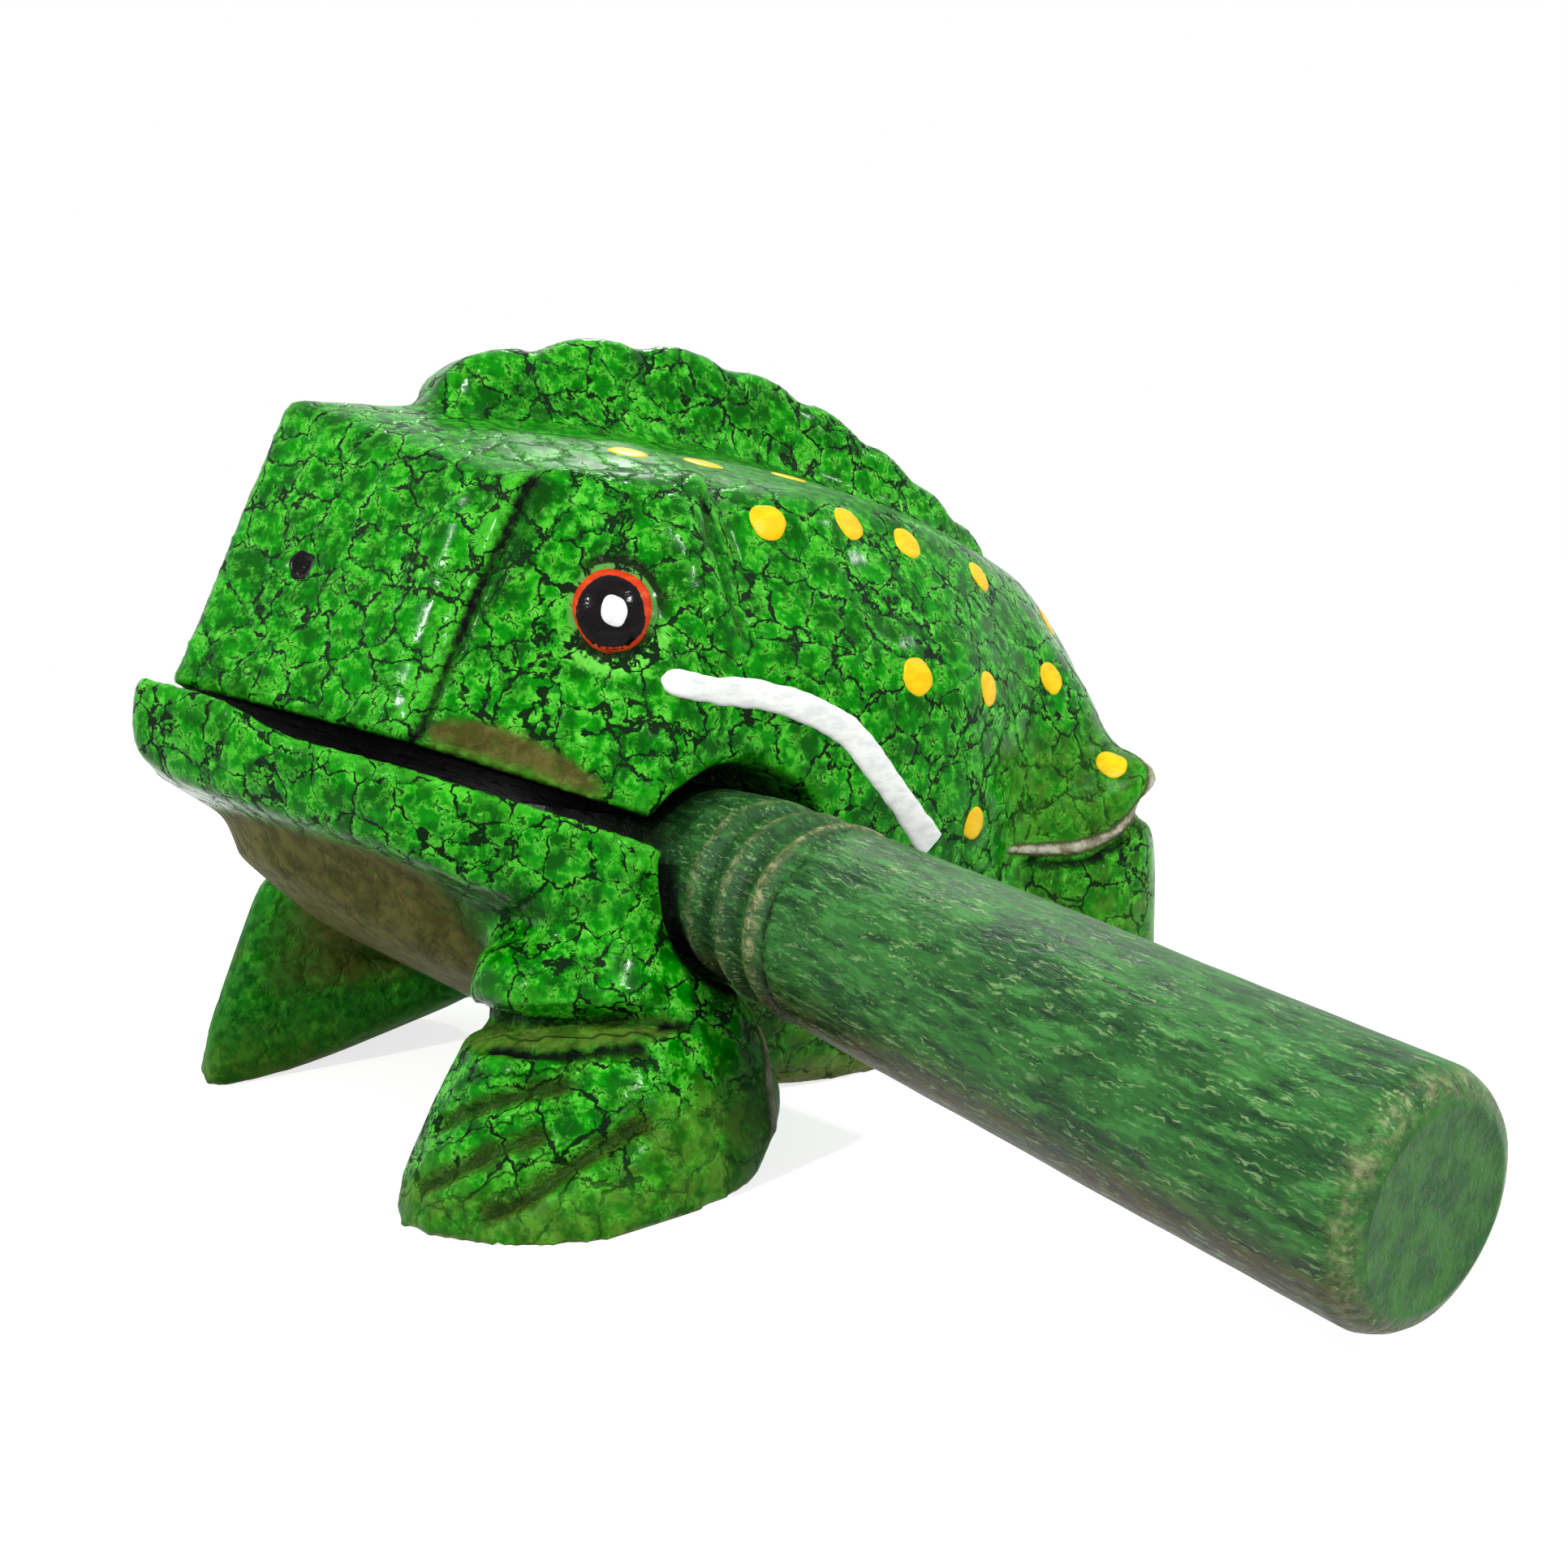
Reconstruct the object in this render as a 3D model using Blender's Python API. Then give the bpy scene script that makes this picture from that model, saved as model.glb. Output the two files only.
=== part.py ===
"""Frog guiro: a wooden frog carved from one block, with a ridged back, and the turned stick that plays it.

The stick is stored in the bore that crosses the body behind the mouth. The frog faces -Y, its left side
is +X, and the origin is on the ground below the middle of the body. Sizes are in millimetres and are
scaled to metres where the meshes are made.
"""
import math

import bmesh
import bpy
from mathutils import Matrix, Vector
from mathutils.bvhtree import BVHTree

MM = 0.001

# Head. The mouth plane falls towards the back, because the frog holds its head up.
MOUTH_FRONT_Y = -57.0
MOUTH_FRONT_Z = 48.0
MOUTH_SLOPE = -0.505
MOUTH_GAP = 2.6
MOUTH_CORNER_X = 38.8
MOUTH_CORNER_Y = -27.0
SNOUT_TOP_Y = -42.4
SNOUT_TOP_Z = 75.2
TEMPLE_X = 24.4
TEMPLE_Y = -32.0
TEMPLE_Z = 64.6
SNOUT_CORNER_X = 25.6
SNOUT_CORNER_Y = -43.7
BROW_X = 33.6
BROW_Y = -18.7
BROW_Z = 60.5
JAW_REACH = 4.2
JAW_DEPTH = 7.4

# Eyes and nostrils
EYE_X = 33.1
EYE_Y = -25.3
EYE_Z = 50.8
EYE_YAW = -31.0
EYE_PITCH = 17.0
EYE_RADIUS = 3.7
EYE_RISE = 1.5
SOCKET_RADIUS = 4.8
SOCKET_DEPTH = 1.2
NOSTRIL_X = 8.8
NOSTRIL_Y = -45.7
NOSTRIL_Z = 58.1
NOSTRIL_RADIUS = 1.4

# V cuts, as width of the opening and depth
CHEEK_CUT_WIDTH = 2.6
CHEEK_CUT_DEPTH = 1.5
TOE_CUT_WIDTH = 1.9
TOE_CUT_DEPTH = 1.4
TOE_CUT_COUNT = 3
BROW_CUT_WIDTH = 2.4
BROW_CUT_DEPTH = 1.2

# Body, as half widths of the back, the flanks and the flat belly
BACK_X = 28.0
BACK_FRONT_Z = 73.5
FLANK_X = 38.0
BELLY_X = 27.0
RUMP_Y = 55.0
RUMP_Z = 32.0
SHOULDER = (26.5, -3.0, 57.0)
SHOULDER_RADII = (5.5, 12.0, 5.5)

# Crest: a thick fin along the back whose top is a row of round scallops
CREST_START_Y = -29.0
CREST_END_Y = 45.0
CREST_PEAK_Y = -8.0
CREST_PEAK_Z = 81.4
CREST_FALL = 0.0090
CREST_HALF = 6.0
CREST_TOP_HALF = 4.8
CREST_DEPTH = 18.0
CREST_EDGE = 1.4
CREST_NOSE = 3.5
CREST_NOSE_LENGTH = 4.0
CREST_COUNT = 8
SCALLOP_RISE = 1.7
SCALLOP_STEP_COUNT = 6

# Legs
KNEE_X = 35.4
KNEE_Y = 39.6
KNEE_Z = 28.0
TOE_X = 30.0
TOE_Y = -50.6
PAW_X = 48.0
FOOT_X = 42.0
FOOT_HEIGHT = 8.0

# Bore and stick
BORE_RADIUS = 10.3
BORE_Y = -16.8
BORE_Z = 25.9
STICK_RADIUS = 8.9
BUTT_RADIUS = 8.3
BUTT_ROUND = 2.0
BUTT_STEP_COUNT = 4
STICK_OUT = 72.0
STICK_IN = 34.0
NECK_LENGTH = 15.5
NECK_RADIUS = 8.6
TIP_RADIUS = 5.4
TIP_EDGE = 1.5
COLLAR_COUNT = 3
COLLAR_PITCH = 5.0
COLLAR_HALF = 0.6
COLLAR_RISE = 0.16
COVE_DEPTH = 0.55
COVE_EDGE = 0.8
BORE_SIDE_COUNT = 48
STICK_SIDE_COUNT = 40
FIT_GAP = 0.4

# Half length of the tools that cut right through
CUT_REACH = 70.0

# Surface steps of the carving
SOFT_STEP = 1.5
SOFT_COUNT = 10
CRISP_STEP = 1.1
CRISP_COUNT = 3
FACET_SHARE = 0.10


def clear_scene():
    for thing in list(bpy.data.objects):
        bpy.data.objects.remove(thing, do_unlink=True)


def material(name, colour, roughness):
    made = bpy.data.materials.new(name)
    made.use_nodes = True
    shader = made.node_tree.nodes["Principled BSDF"]
    shader.inputs["Base Color"].default_value = (*colour, 1.0)
    shader.inputs["Roughness"].default_value = roughness
    shader.inputs["Metallic"].default_value = 0.0
    return made


def mouth_z(y):
    return MOUTH_FRONT_Z + MOUTH_SLOPE * (y - MOUTH_FRONT_Y)


def both_sides(corners):
    return list(corners) + [(-x, y, z) for x, y, z in corners if x]


def add_hull(bm, corners):
    """Adds one carved mass, the tight hull of its corners."""
    added = [bm.verts.new(Vector(corner) * MM) for corner in corners]
    result = bmesh.ops.convex_hull(bm, input=added)
    spare = {item for item in result["geom_interior"] if isinstance(item, bmesh.types.BMVert)}
    bmesh.ops.delete(bm, geom=list(spare), context="VERTS")


def add_bulge(bm, centre, radii):
    """Adds a rounded swelling, an ellipsoid."""
    place = Matrix.Translation(Vector(centre) * MM)
    shape = Matrix.Diagonal((*(radius * MM for radius in radii), 1.0))
    bmesh.ops.create_icosphere(bm, subdivisions=3, radius=1.0, matrix=place @ shape)


def add_snout(bm):
    add_hull(bm, both_sides([
        (0, SNOUT_TOP_Y, SNOUT_TOP_Z),
        (0, MOUTH_FRONT_Y, MOUTH_FRONT_Z),
        (TEMPLE_X, TEMPLE_Y, TEMPLE_Z),
        (SNOUT_CORNER_X, SNOUT_CORNER_Y, mouth_z(SNOUT_CORNER_Y)),
        (0, -12.0, BACK_FRONT_Z),
        (TEMPLE_X, -10.0, TEMPLE_Z),
        (TEMPLE_X, -12.0, 30.0),
        (0, -50.0, 42.0),
        (SNOUT_CORNER_X, -36.0, 34.0),
    ]))


def add_cheeks(bm):
    for side in (1, -1):
        add_hull(bm, [(side * x, y, z) for x, y, z in [
            (TEMPLE_X, TEMPLE_Y, TEMPLE_Z),
            (TEMPLE_X + 2.6, TEMPLE_Y + 3.4, TEMPLE_Z + 0.6),
            (BROW_X, BROW_Y, BROW_Z),
            (BROW_X + 3.4, BROW_Y + 1.7, BROW_Z - 7.3),
            (MOUTH_CORNER_X - 2.6, BROW_Y + 5.2, BROW_Z - 13.5),
            (MOUTH_CORNER_X - 1.6, BROW_Y + 4.2, BROW_Z - 22.0),
            (MOUTH_CORNER_X, MOUTH_CORNER_Y, mouth_z(MOUTH_CORNER_Y)),
            (SNOUT_CORNER_X, SNOUT_CORNER_Y, mouth_z(SNOUT_CORNER_Y)),
            (10.0, -20.0, 60.0),
            (10.0, -15.0, 32.0),
            (30.0, -12.0, 64.0),
        ]])


def add_lower_jaw(bm):
    front_y = MOUTH_FRONT_Y - JAW_REACH
    side_y = SNOUT_CORNER_Y - 0.6 * JAW_REACH
    side_x = SNOUT_CORNER_X + 0.6 * JAW_REACH
    corner_x = MOUTH_CORNER_X + 0.4 * JAW_REACH
    corner_y = MOUTH_CORNER_Y - 0.6 * JAW_REACH
    add_hull(bm, both_sides([
        (0, front_y + 1.8, mouth_z(front_y + 1.8) - MOUTH_GAP + 1.0),
        (0, front_y - 0.2, mouth_z(front_y) - MOUTH_GAP - 2.6),
        (0, front_y, mouth_z(front_y) - MOUTH_GAP - 6.0),
        (5.0, front_y + 3.2, mouth_z(front_y) - MOUTH_GAP - JAW_DEPTH - 2.0),
        (side_x - 1.6, side_y + 1.4, mouth_z(side_y + 1.4) - MOUTH_GAP + 1.0),
        (side_x, side_y, mouth_z(side_y) - MOUTH_GAP - 1.8),
        (side_x - 0.6, side_y, mouth_z(side_y) - MOUTH_GAP - JAW_DEPTH - 1.0),
        (corner_x, corner_y, mouth_z(corner_y) - MOUTH_GAP + 1.0),
        (corner_x, corner_y, mouth_z(corner_y) - MOUTH_GAP - JAW_DEPTH - 3.2),
        (MOUTH_CORNER_X, -12.0, 22.0),
        (MOUTH_CORNER_X, -12.0, 25.0),
        (0, -20.0, 30.0),
        (0, -20.0, 22.0),
    ]))


def add_throat(bm):
    add_hull(bm, both_sides([
        (0, -52.5, 35.0),
        (5.0, -51.5, 29.5),
        (12.0, -50.0, 33.5),
        (22.0, -42.5, 30.0),
        (34.0, -31.5, 22.0),
        (12.0, -41.5, 20.0),
        (22.0, -37.0, 17.5),
        (28.0, -34.0, 17.5),
        (0, -46.0, 24.0),
        (0, -20.0, 4.0),
        (22.0, -16.0, 6.0),
        (34.0, -14.0, 20.0),
    ]))


def add_body(bm):
    """A barrel through stations from the shoulders to the rump.

    Each station has its y and top, then the width share and height of back, flank, low flank and belly.
    """
    stations = [
        (-20.0, 74.0, 0.84, 66.0, 0.93, 45.0, 0.95, 24.0, 0.81, 6.0),
        (-10.0, 72.5, 0.95, 63.4, 0.99, 45.0, 1.00, 32.0, 0.88, 0.5),
        (0.0, 70.5, 1.00, 61.4, 1.00, 44.0, 1.01, 30.0, 1.00, -0.5),
        (12.0, 67.5, 1.00, 59.5, 0.99, 42.0, 0.97, 28.0, 1.00, -1.5),
        (24.0, 63.0, 0.93, 55.0, 0.84, 40.0, 0.82, 26.0, 0.93, -1.5),
        (38.0, 58.5, 0.68, 50.5, 0.66, 38.0, 0.63, 24.0, 0.74, -1.5),
        (50.0, 46.0, 0.46, 42.0, 0.45, 33.0, 0.40, 18.0, 0.41, 1.0),
    ]
    corners = [(0, RUMP_Y, RUMP_Z), (8.0, RUMP_Y - 1.0, RUMP_Z), (0, RUMP_Y - 1.0, 14.0)]
    for y, top, back, back_z, flank, flank_z, low, low_z, belly, belly_z in stations:
        corners += [
            (0, y, top),
            (BACK_X * back, y, back_z),
            (FLANK_X * flank, y, flank_z),
            (FLANK_X * low, y, low_z),
            (BELLY_X * belly, y, belly_z),
            (0, y, belly_z - 1.5),
        ]
    add_hull(bm, both_sides(corners))


def add_hind_legs(bm):
    """Folded hind legs: the thigh overhangs the shin along a V-shaped fold that runs up to the knee."""
    for side in (1, -1):
        thigh = [
            (17.0, 28.0, 55.0),
            (22.0, 33.5, 50.5),
            (27.5, 28.0, 46.5),
            (28.8, 33.5, 41.0),
            (29.6, 36.5, 36.0),
            (25.0, 41.5, 38.0),
            (30.5, 38.0, 31.0),
            (25.5, 44.0, 30.0),
            (31.5, 25.0, 23.0),
            (33.0, 31.0, 22.0),
            (20.0, 49.0, 24.0),
            (6.0, 35.0, 42.0),
            (6.0, 50.0, 24.0),
        ]
        shin = [
            (30.0, 23.0, 20.0),
            (33.0, 31.0, 19.2),
            (KNEE_X - 1.0, KNEE_Y - 4.5, 21.5),
            (KNEE_X - 0.6, KNEE_Y, 24.5),
            (KNEE_X - 0.5, KNEE_Y + 0.4, 20.0),
            (KNEE_X - 1.5, KNEE_Y + 0.3, 12.0),
            (KNEE_X - 2.2, KNEE_Y, -3.0),
            (31.0, 45.0, 21.0),
            (27.0, 46.0, -3.0),
            (22.0, 49.5, 20.0),
            (33.0, 22.0, -3.0),
            (12.0, 30.0, 16.0),
            (12.0, 45.0, -3.0),
        ]
        foot = [
            (30.0, 8.0, -3.0),
            (36.0, 6.0, -3.0),
            (FOOT_X, 14.0, -3.0),
            (FOOT_X, 30.0, -3.0),
            (37.0, 41.0, -3.0),
            (24.0, 41.0, -3.0),
            (20.0, 16.0, -3.0),
            (31.0, 12.0, 0.5 * FOOT_HEIGHT),
            (36.5, 26.0, FOOT_HEIGHT),
            (30.0, 38.0, 1.5 * FOOT_HEIGHT),
        ]
        for corners in (thigh, shin, foot):
            add_hull(bm, [(side * x, y, z) for x, y, z in corners])


def add_knees(bm):
    """The lower edge of each thigh, which runs out to a pointed knee above the fold."""
    for side in (1, -1):
        add_hull(bm, [(side * x, y, z) for x, y, z in [
            (31.0, 24.0, 23.4),
            (33.4, 31.0, 22.6),
            (KNEE_X - 0.2, KNEE_Y - 4.0, KNEE_Z - 3.8),
            (KNEE_X + 0.8, KNEE_Y, KNEE_Z - 0.4),
            (KNEE_X - 2.0, KNEE_Y + 4.0, KNEE_Z - 1.0),
            (24.0, 47.0, KNEE_Z - 2.0),
            (30.5, 34.0, 30.0),
            (KNEE_X - 2.0, KNEE_Y - 0.6, KNEE_Z + 2.6),
            (27.0, 43.0, KNEE_Z + 3.0),
            (20.0, 30.0, 26.0),
        ]])


def add_front_legs(bm):
    """Short front legs: the upper arm overhangs the paw, which spreads to a pointed toe.

    The right leg is left plainer than the left one, with a straight front from the throat to the toe.
    """
    for side in (1, -1):
        arm = [
            (29.0, -41.5, 22.5),
            (38.0, -38.0, 22.5),
            (41.0, -28.0, 21.0),
            (40.5, -18.5, 14.5),
            (29.0, -43.0, 17.0),
            (37.5, -42.5, 17.0),
            (43.5, -31.0, 16.0),
            (42.5, -20.0, 12.5),
            (24.0, -34.0, 24.0),
            (20.0, -18.0, 24.0),
            (24.0, -16.0, 10.0),
        ]
        wrist = [
            (29.0, -40.0, 20.0),
            (37.0, -38.0, 20.0),
            (41.5, -27.0, 20.0),
            (41.0, -18.0, 14.0),
            (29.0, -40.0, 10.0),
            (37.0, -38.0, 10.0),
            (41.5, -27.0, 10.0),
            (41.0, -18.0, 8.0),
            (26.0, -18.0, 14.0),
        ]
        paw = [
            (29.0, -43.6, 14.4),
            (37.5, -43.0, 14.4),
            (44.0, -31.0, 14.0),
            (43.8, -20.0, 12.0),
            (TOE_X - 2.5, TOE_Y + 0.2, 3.5),
            (TOE_X - 2.0, TOE_Y - 1.0, -2.0),
            (TOE_X + 5.0, TOE_Y - 1.2, -2.0),
            (TOE_X + 5.0, TOE_Y + 0.2, 3.0),
            (43.5, -47.5, -2.0),
            (PAW_X + 1.4, -40.5, -2.0),
            (PAW_X + 1.4, -33.0, -2.0),
            (PAW_X + 0.4, -36.0, 4.5),
            (46.0, -24.0, -2.0),
            (45.0, -18.5, 5.0),
            (40.0, -15.5, 6.0),
            (30.0, -15.0, 4.0),
            (24.0, -36.0, 13.0),
            (24.0, -38.0, 4.0),
            (20.0, -16.0, 8.0),
        ]
        for corners in (arm, wrist, paw):
            add_hull(bm, [(side * x, y, z) for x, y, z in corners])
    add_hull(bm, [
        (-27.0, -42.6, 24.0),
        (-34.0, -40.6, 24.0),
        (-27.4, TOE_Y - 0.4, 6.0),
        (-33.0, TOE_Y + 0.2, 5.0),
        (-27.6, TOE_Y - 1.0, -2.0),
        (-34.0, TOE_Y - 0.4, -2.0),
        (-38.5, -38.0, 22.0),
        (-40.0, -42.0, 8.0),
        (-23.0, -32.0, 24.0),
        (-24.0, -36.0, 3.0),
    ])


def crest_top_z(y):
    """Envelope of the scallops, highest over the shoulders."""
    nose = max(0.0, (CREST_START_Y - y) / CREST_NOSE_LENGTH + 1.0)
    return CREST_PEAK_Z - CREST_FALL * (y - CREST_PEAK_Y) ** 2 - CREST_NOSE * nose ** 2


def crest_outline():
    """Scallops that get shorter towards the rump, as (y, z) from front to back."""
    ends = [0.0]
    for index in range(CREST_COUNT):
        ends.append(ends[-1] + 1.0 - 0.75 * index / CREST_COUNT)
    points = []
    for index in range(CREST_COUNT):
        first = ends[index] / ends[-1]
        last = ends[index + 1] / ends[-1]
        rise = SCALLOP_RISE * (1.0 - 0.3 * index / CREST_COUNT)
        for step in range(SCALLOP_STEP_COUNT):
            share = step / SCALLOP_STEP_COUNT
            y = CREST_START_Y + (CREST_END_Y - CREST_START_Y) * (first + (last - first) * share)
            round_top = math.sqrt(1.0 - (2.0 * share - 1.0) ** 2) - 1.0
            points.append((y, crest_top_z(y) + rise * round_top))
    points.append((CREST_END_Y, crest_top_z(CREST_END_Y) - 1.0))
    return points


def add_crest(bm):
    """Each slice between two outline points is a short wedge, so the fin follows the scallops."""
    outline = crest_outline()
    for (y0, z0), (y1, z1) in zip(outline, outline[1:]):
        add_hull(bm, both_sides([
            (CREST_TOP_HALF - CREST_EDGE, y0, z0),
            (CREST_TOP_HALF - CREST_EDGE, y1, z1),
            (CREST_TOP_HALF, y0, z0 - CREST_EDGE),
            (CREST_TOP_HALF, y1, z1 - CREST_EDGE),
            (CREST_HALF, y0, z0 - CREST_DEPTH),
            (CREST_HALF, y1, z1 - CREST_DEPTH),
        ]))


def mesh_object(name, bm):
    mesh = bpy.data.meshes.new(name)
    bm.to_mesh(mesh)
    bm.free()
    made = bpy.data.objects.new(name, mesh)
    bpy.context.scene.collection.objects.link(made)
    return made


def skin_over(carving, step, rounds):
    """Unites overlapping masses into one skin and softens its edges."""
    skin = carving.modifiers.new("skin", "REMESH")
    skin.mode = "VOXEL"
    skin.voxel_size = step * MM
    soft = carving.modifiers.new("soft", "SMOOTH")
    soft.iterations = rounds
    soft.factor = 0.5


def soft_masses():
    """The rounded parts, worn smooth before the crisp ones are joined to them."""
    bm = bmesh.new()
    add_body(bm)
    add_hind_legs(bm)
    add_front_legs(bm)
    for centre in both_sides([SHOULDER]):
        add_bulge(bm, centre, SHOULDER_RADII)
    bmesh.ops.recalc_face_normals(bm, faces=bm.faces)
    draft = mesh_object("draft", bm)
    skin_over(draft, SOFT_STEP, SOFT_COUNT)
    finished = bpy.data.meshes.new_from_object(draft.evaluated_get(bpy.context.evaluated_depsgraph_get()))
    bpy.data.objects.remove(draft, do_unlink=True)
    return finished


def carved_block():
    bm = bmesh.new()
    add_snout(bm)
    add_cheeks(bm)
    add_lower_jaw(bm)
    add_throat(bm)
    add_crest(bm)
    add_knees(bm)
    bmesh.ops.recalc_face_normals(bm, faces=bm.faces)
    bm.from_mesh(soft_masses())
    body = mesh_object("frog_body", bm)
    skin_over(body, CRISP_STEP, CRISP_COUNT)
    thin = body.modifiers.new("thin", "DECIMATE")
    thin.ratio = FACET_SHARE
    return body


def cutter(name, bm):
    bmesh.ops.recalc_face_normals(bm, faces=bm.faces)
    made = mesh_object(name, bm)
    made.hide_render = True
    made.display_type = "WIRE"
    return made


def combine(body, tool, operation="DIFFERENCE"):
    step = body.modifiers.new(tool.name, "BOOLEAN")
    step.operation = operation
    step.object = tool
    step.solver = "EXACT"


def add_v_cut(bm, stations):
    """Adds a closed V-shaped tool, led through stations of (deepest point, upper edge, lower edge)."""
    rings = [[bm.verts.new(Vector(point) * MM) for point in station] for station in stations]
    for first, second in zip(rings, rings[1:]):
        for index in range(3):
            after = (index + 1) % 3
            bm.faces.new((first[index], first[after], second[after], second[index]))
    bm.faces.new(rings[0][::-1])
    bm.faces.new(rings[-1])


def carved_surface(body):
    """The body as it stands, as a tree that answers where a line meets its skin."""
    return BVHTree.FromObject(body, bpy.context.evaluated_depsgraph_get())


def on_skin(skin, point, outward):
    """The skin point met by a line that comes in against the outward direction."""
    out = Vector(outward).normalized()
    start = Vector(point) + out * 30.0
    hit = skin.ray_cast(start * MM, -out)[0]
    return hit / MM if hit else Vector(point)


def groove(bm, skin, route, outward, width, depth):
    """Adds a V cut along the skin below a route, open towards the outward direction."""
    stations = []
    out = Vector(outward).normalized()
    points = [on_skin(skin, point, out) for point in route]
    for index, point in enumerate(points):
        ahead = points[min(index + 1, len(points) - 1)] - points[max(index - 1, 0)]
        across = ahead.cross(out).normalized()
        fade = 0.2 if index in (0, len(points) - 1) else 1.0
        stations.append((
            point - out * depth * fade,
            point + out * depth + across * width * fade,
            point + out * depth - across * width * fade,
        ))
    add_v_cut(bm, stations)


def mirrored(stations, side):
    return [[(side * x, y, z) for x, y, z in station] for station in stations]


def mouth_tool():
    """A flat saw cut from the lips back into the bore."""
    bm = bmesh.new()
    corners = []
    for x in (-CUT_REACH, CUT_REACH):
        for y in (-CUT_REACH, BORE_Y):
            corners += [(x, y, mouth_z(y)), (x, y, mouth_z(y) - MOUTH_GAP)]
    add_hull(bm, corners)
    return cutter("mouth_cut", bm)


def bore_tool():
    bm = bmesh.new()
    place = Matrix.Translation(Vector((0.0, BORE_Y, BORE_Z)) * MM) @ Matrix.Rotation(math.radians(90), 4, "Y")
    radius = BORE_RADIUS * MM
    length = 2.0 * CUT_REACH * MM
    bmesh.ops.create_cone(
        bm, cap_ends=True, segments=BORE_SIDE_COUNT, radius1=radius, radius2=radius, depth=length, matrix=place)
    return cutter("bore_cut", bm)


def ground_tool():
    """A block below the ground plane, which leaves the belly and the feet flat."""
    bm = bmesh.new()
    place = Matrix.Translation((0.0, 0.0, -CUT_REACH * MM))
    bmesh.ops.create_cube(bm, size=2.0 * CUT_REACH * MM, matrix=place)
    return cutter("ground_cut", bm)


def fold_tool(side):
    """The V folds of the hind leg above the shin and of the front leg above the paw."""
    bm = bmesh.new()
    add_v_cut(bm, mirrored([
        [(28.5, 20.0, 21.8), (34.0, 19.0, 23.0), (34.0, 19.0, 20.2)],
        [(30.3, 31.0, 20.8), (38.0, 28.0, 24.2), (38.0, 28.0, 17.6)],
        [(33.3, 37.0, 22.2), (41.0, 35.0, 26.2), (41.0, 35.0, 20.0)],
        [(35.4, 42.2, 26.0), (41.5, 42.5, 28.4), (41.5, 42.5, 24.6)],
    ], side))
    wrist = [
        [(26.0, -39.6, 15.6), (24.0, -50.0, 26.0), (24.0, -50.0, 12.6)],
        [(35.0, -38.2, 15.6), (40.0, -50.0, 26.0), (40.0, -50.0, 12.2)],
        [(39.8, -31.0, 15.8), (50.0, -36.0, 23.0), (50.0, -36.0, 12.4)],
        [(44.0, -23.0, 16.0), (50.0, -24.0, 17.6), (50.0, -24.0, 14.8)],
    ]
    if side < 0:
        wrist[:2] = [[(39.0, -41.0, 15.6), (41.0, -46.0, 17.0), (41.0, -46.0, 14.4)]]
    add_v_cut(bm, mirrored(wrist, side))
    return cutter("fold_cut", bm)


def cheek_tool(skin, side):
    """The groove between the flat of the snout and the cheek."""
    bm = bmesh.new()
    low_z = mouth_z(SNOUT_CORNER_Y)
    route = [
        (side * (TEMPLE_X - 1.0), TEMPLE_Y + 0.6, TEMPLE_Z + 0.6),
        (side * TEMPLE_X, TEMPLE_Y - 1.2, TEMPLE_Z - 2.0),
        (side * (SNOUT_CORNER_X - 0.4), SNOUT_CORNER_Y + 1.4, low_z + 3.6),
        (side * SNOUT_CORNER_X, SNOUT_CORNER_Y + 0.4, low_z + 0.6),
    ]
    groove(bm, skin, route, (side * 0.70, -0.64, 0.30), CHEEK_CUT_WIDTH, CHEEK_CUT_DEPTH)
    return cutter("cheek_cut", bm)


def brow_tool(skin, side):
    """The groove behind the brow, which fades down the cheek."""
    bm = bmesh.new()
    route = [
        (side * (BROW_X - 2.4), BROW_Y + 4.4, BROW_Z + 0.6),
        (side * (BROW_X - 0.8), BROW_Y + 5.0, BROW_Z - 2.8),
        (side * (BROW_X + 1.2), BROW_Y + 5.4, BROW_Z - 7.4),
        (side * (BROW_X + 2.4), BROW_Y + 5.0, BROW_Z - 12.5),
    ]
    groove(bm, skin, route, (side * 0.80, -0.10, 0.55), BROW_CUT_WIDTH, BROW_CUT_DEPTH)
    return cutter("brow_cut", bm)


def toe_tool(skin, side):
    """Grooves that spread from the toe over the paw."""
    bm = bmesh.new()
    inner = [
        (TOE_X + 2.8, TOE_Y + 3.6, 8.8),
        (TOE_X + 8.3, TOE_Y + 6.6, 10.8),
        (TOE_X + 11.0, TOE_Y + 11.4, 11.6),
    ]
    outer = [
        (TOE_X + 9.0, TOE_Y + 2.4, 2.4),
        (TOE_X + 13.2, TOE_Y + 7.8, 5.0),
        (TOE_X + 16.2, TOE_Y + 16.2, 8.0),
    ]
    for index in range(TOE_CUT_COUNT):
        share = index / (TOE_CUT_COUNT - 1)
        start, middle, end = (Vector(a).lerp(Vector(b), share) for a, b in zip(inner, outer))
        route = [start, start.lerp(middle, 0.5), middle, middle.lerp(end, 0.5), end]
        route = [(side * point.x, point.y, point.z) for point in route]
        groove(bm, skin, route, (side * 0.64, -0.56, 0.52), TOE_CUT_WIDTH, TOE_CUT_DEPTH)
    return cutter("toe_cut", bm)


def facing(side):
    """Frame of the eye: its own X points out of the cheek."""
    place = Matrix.Translation(Vector((side * EYE_X, EYE_Y, EYE_Z)) * MM)
    turn = Matrix.Rotation(math.radians(EYE_YAW if side > 0 else 180.0 - EYE_YAW), 4, "Z")
    return place @ turn @ Matrix.Rotation(math.radians(-EYE_PITCH), 4, "Y")


def eye_shape(side, out, wide, tall):
    bm = bmesh.new()
    shape = Matrix.Diagonal((out * MM, wide * MM, tall * MM, 1.0))
    bmesh.ops.create_uvsphere(bm, u_segments=18, v_segments=9, radius=1.0, matrix=facing(side) @ shape)
    return bm


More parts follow.
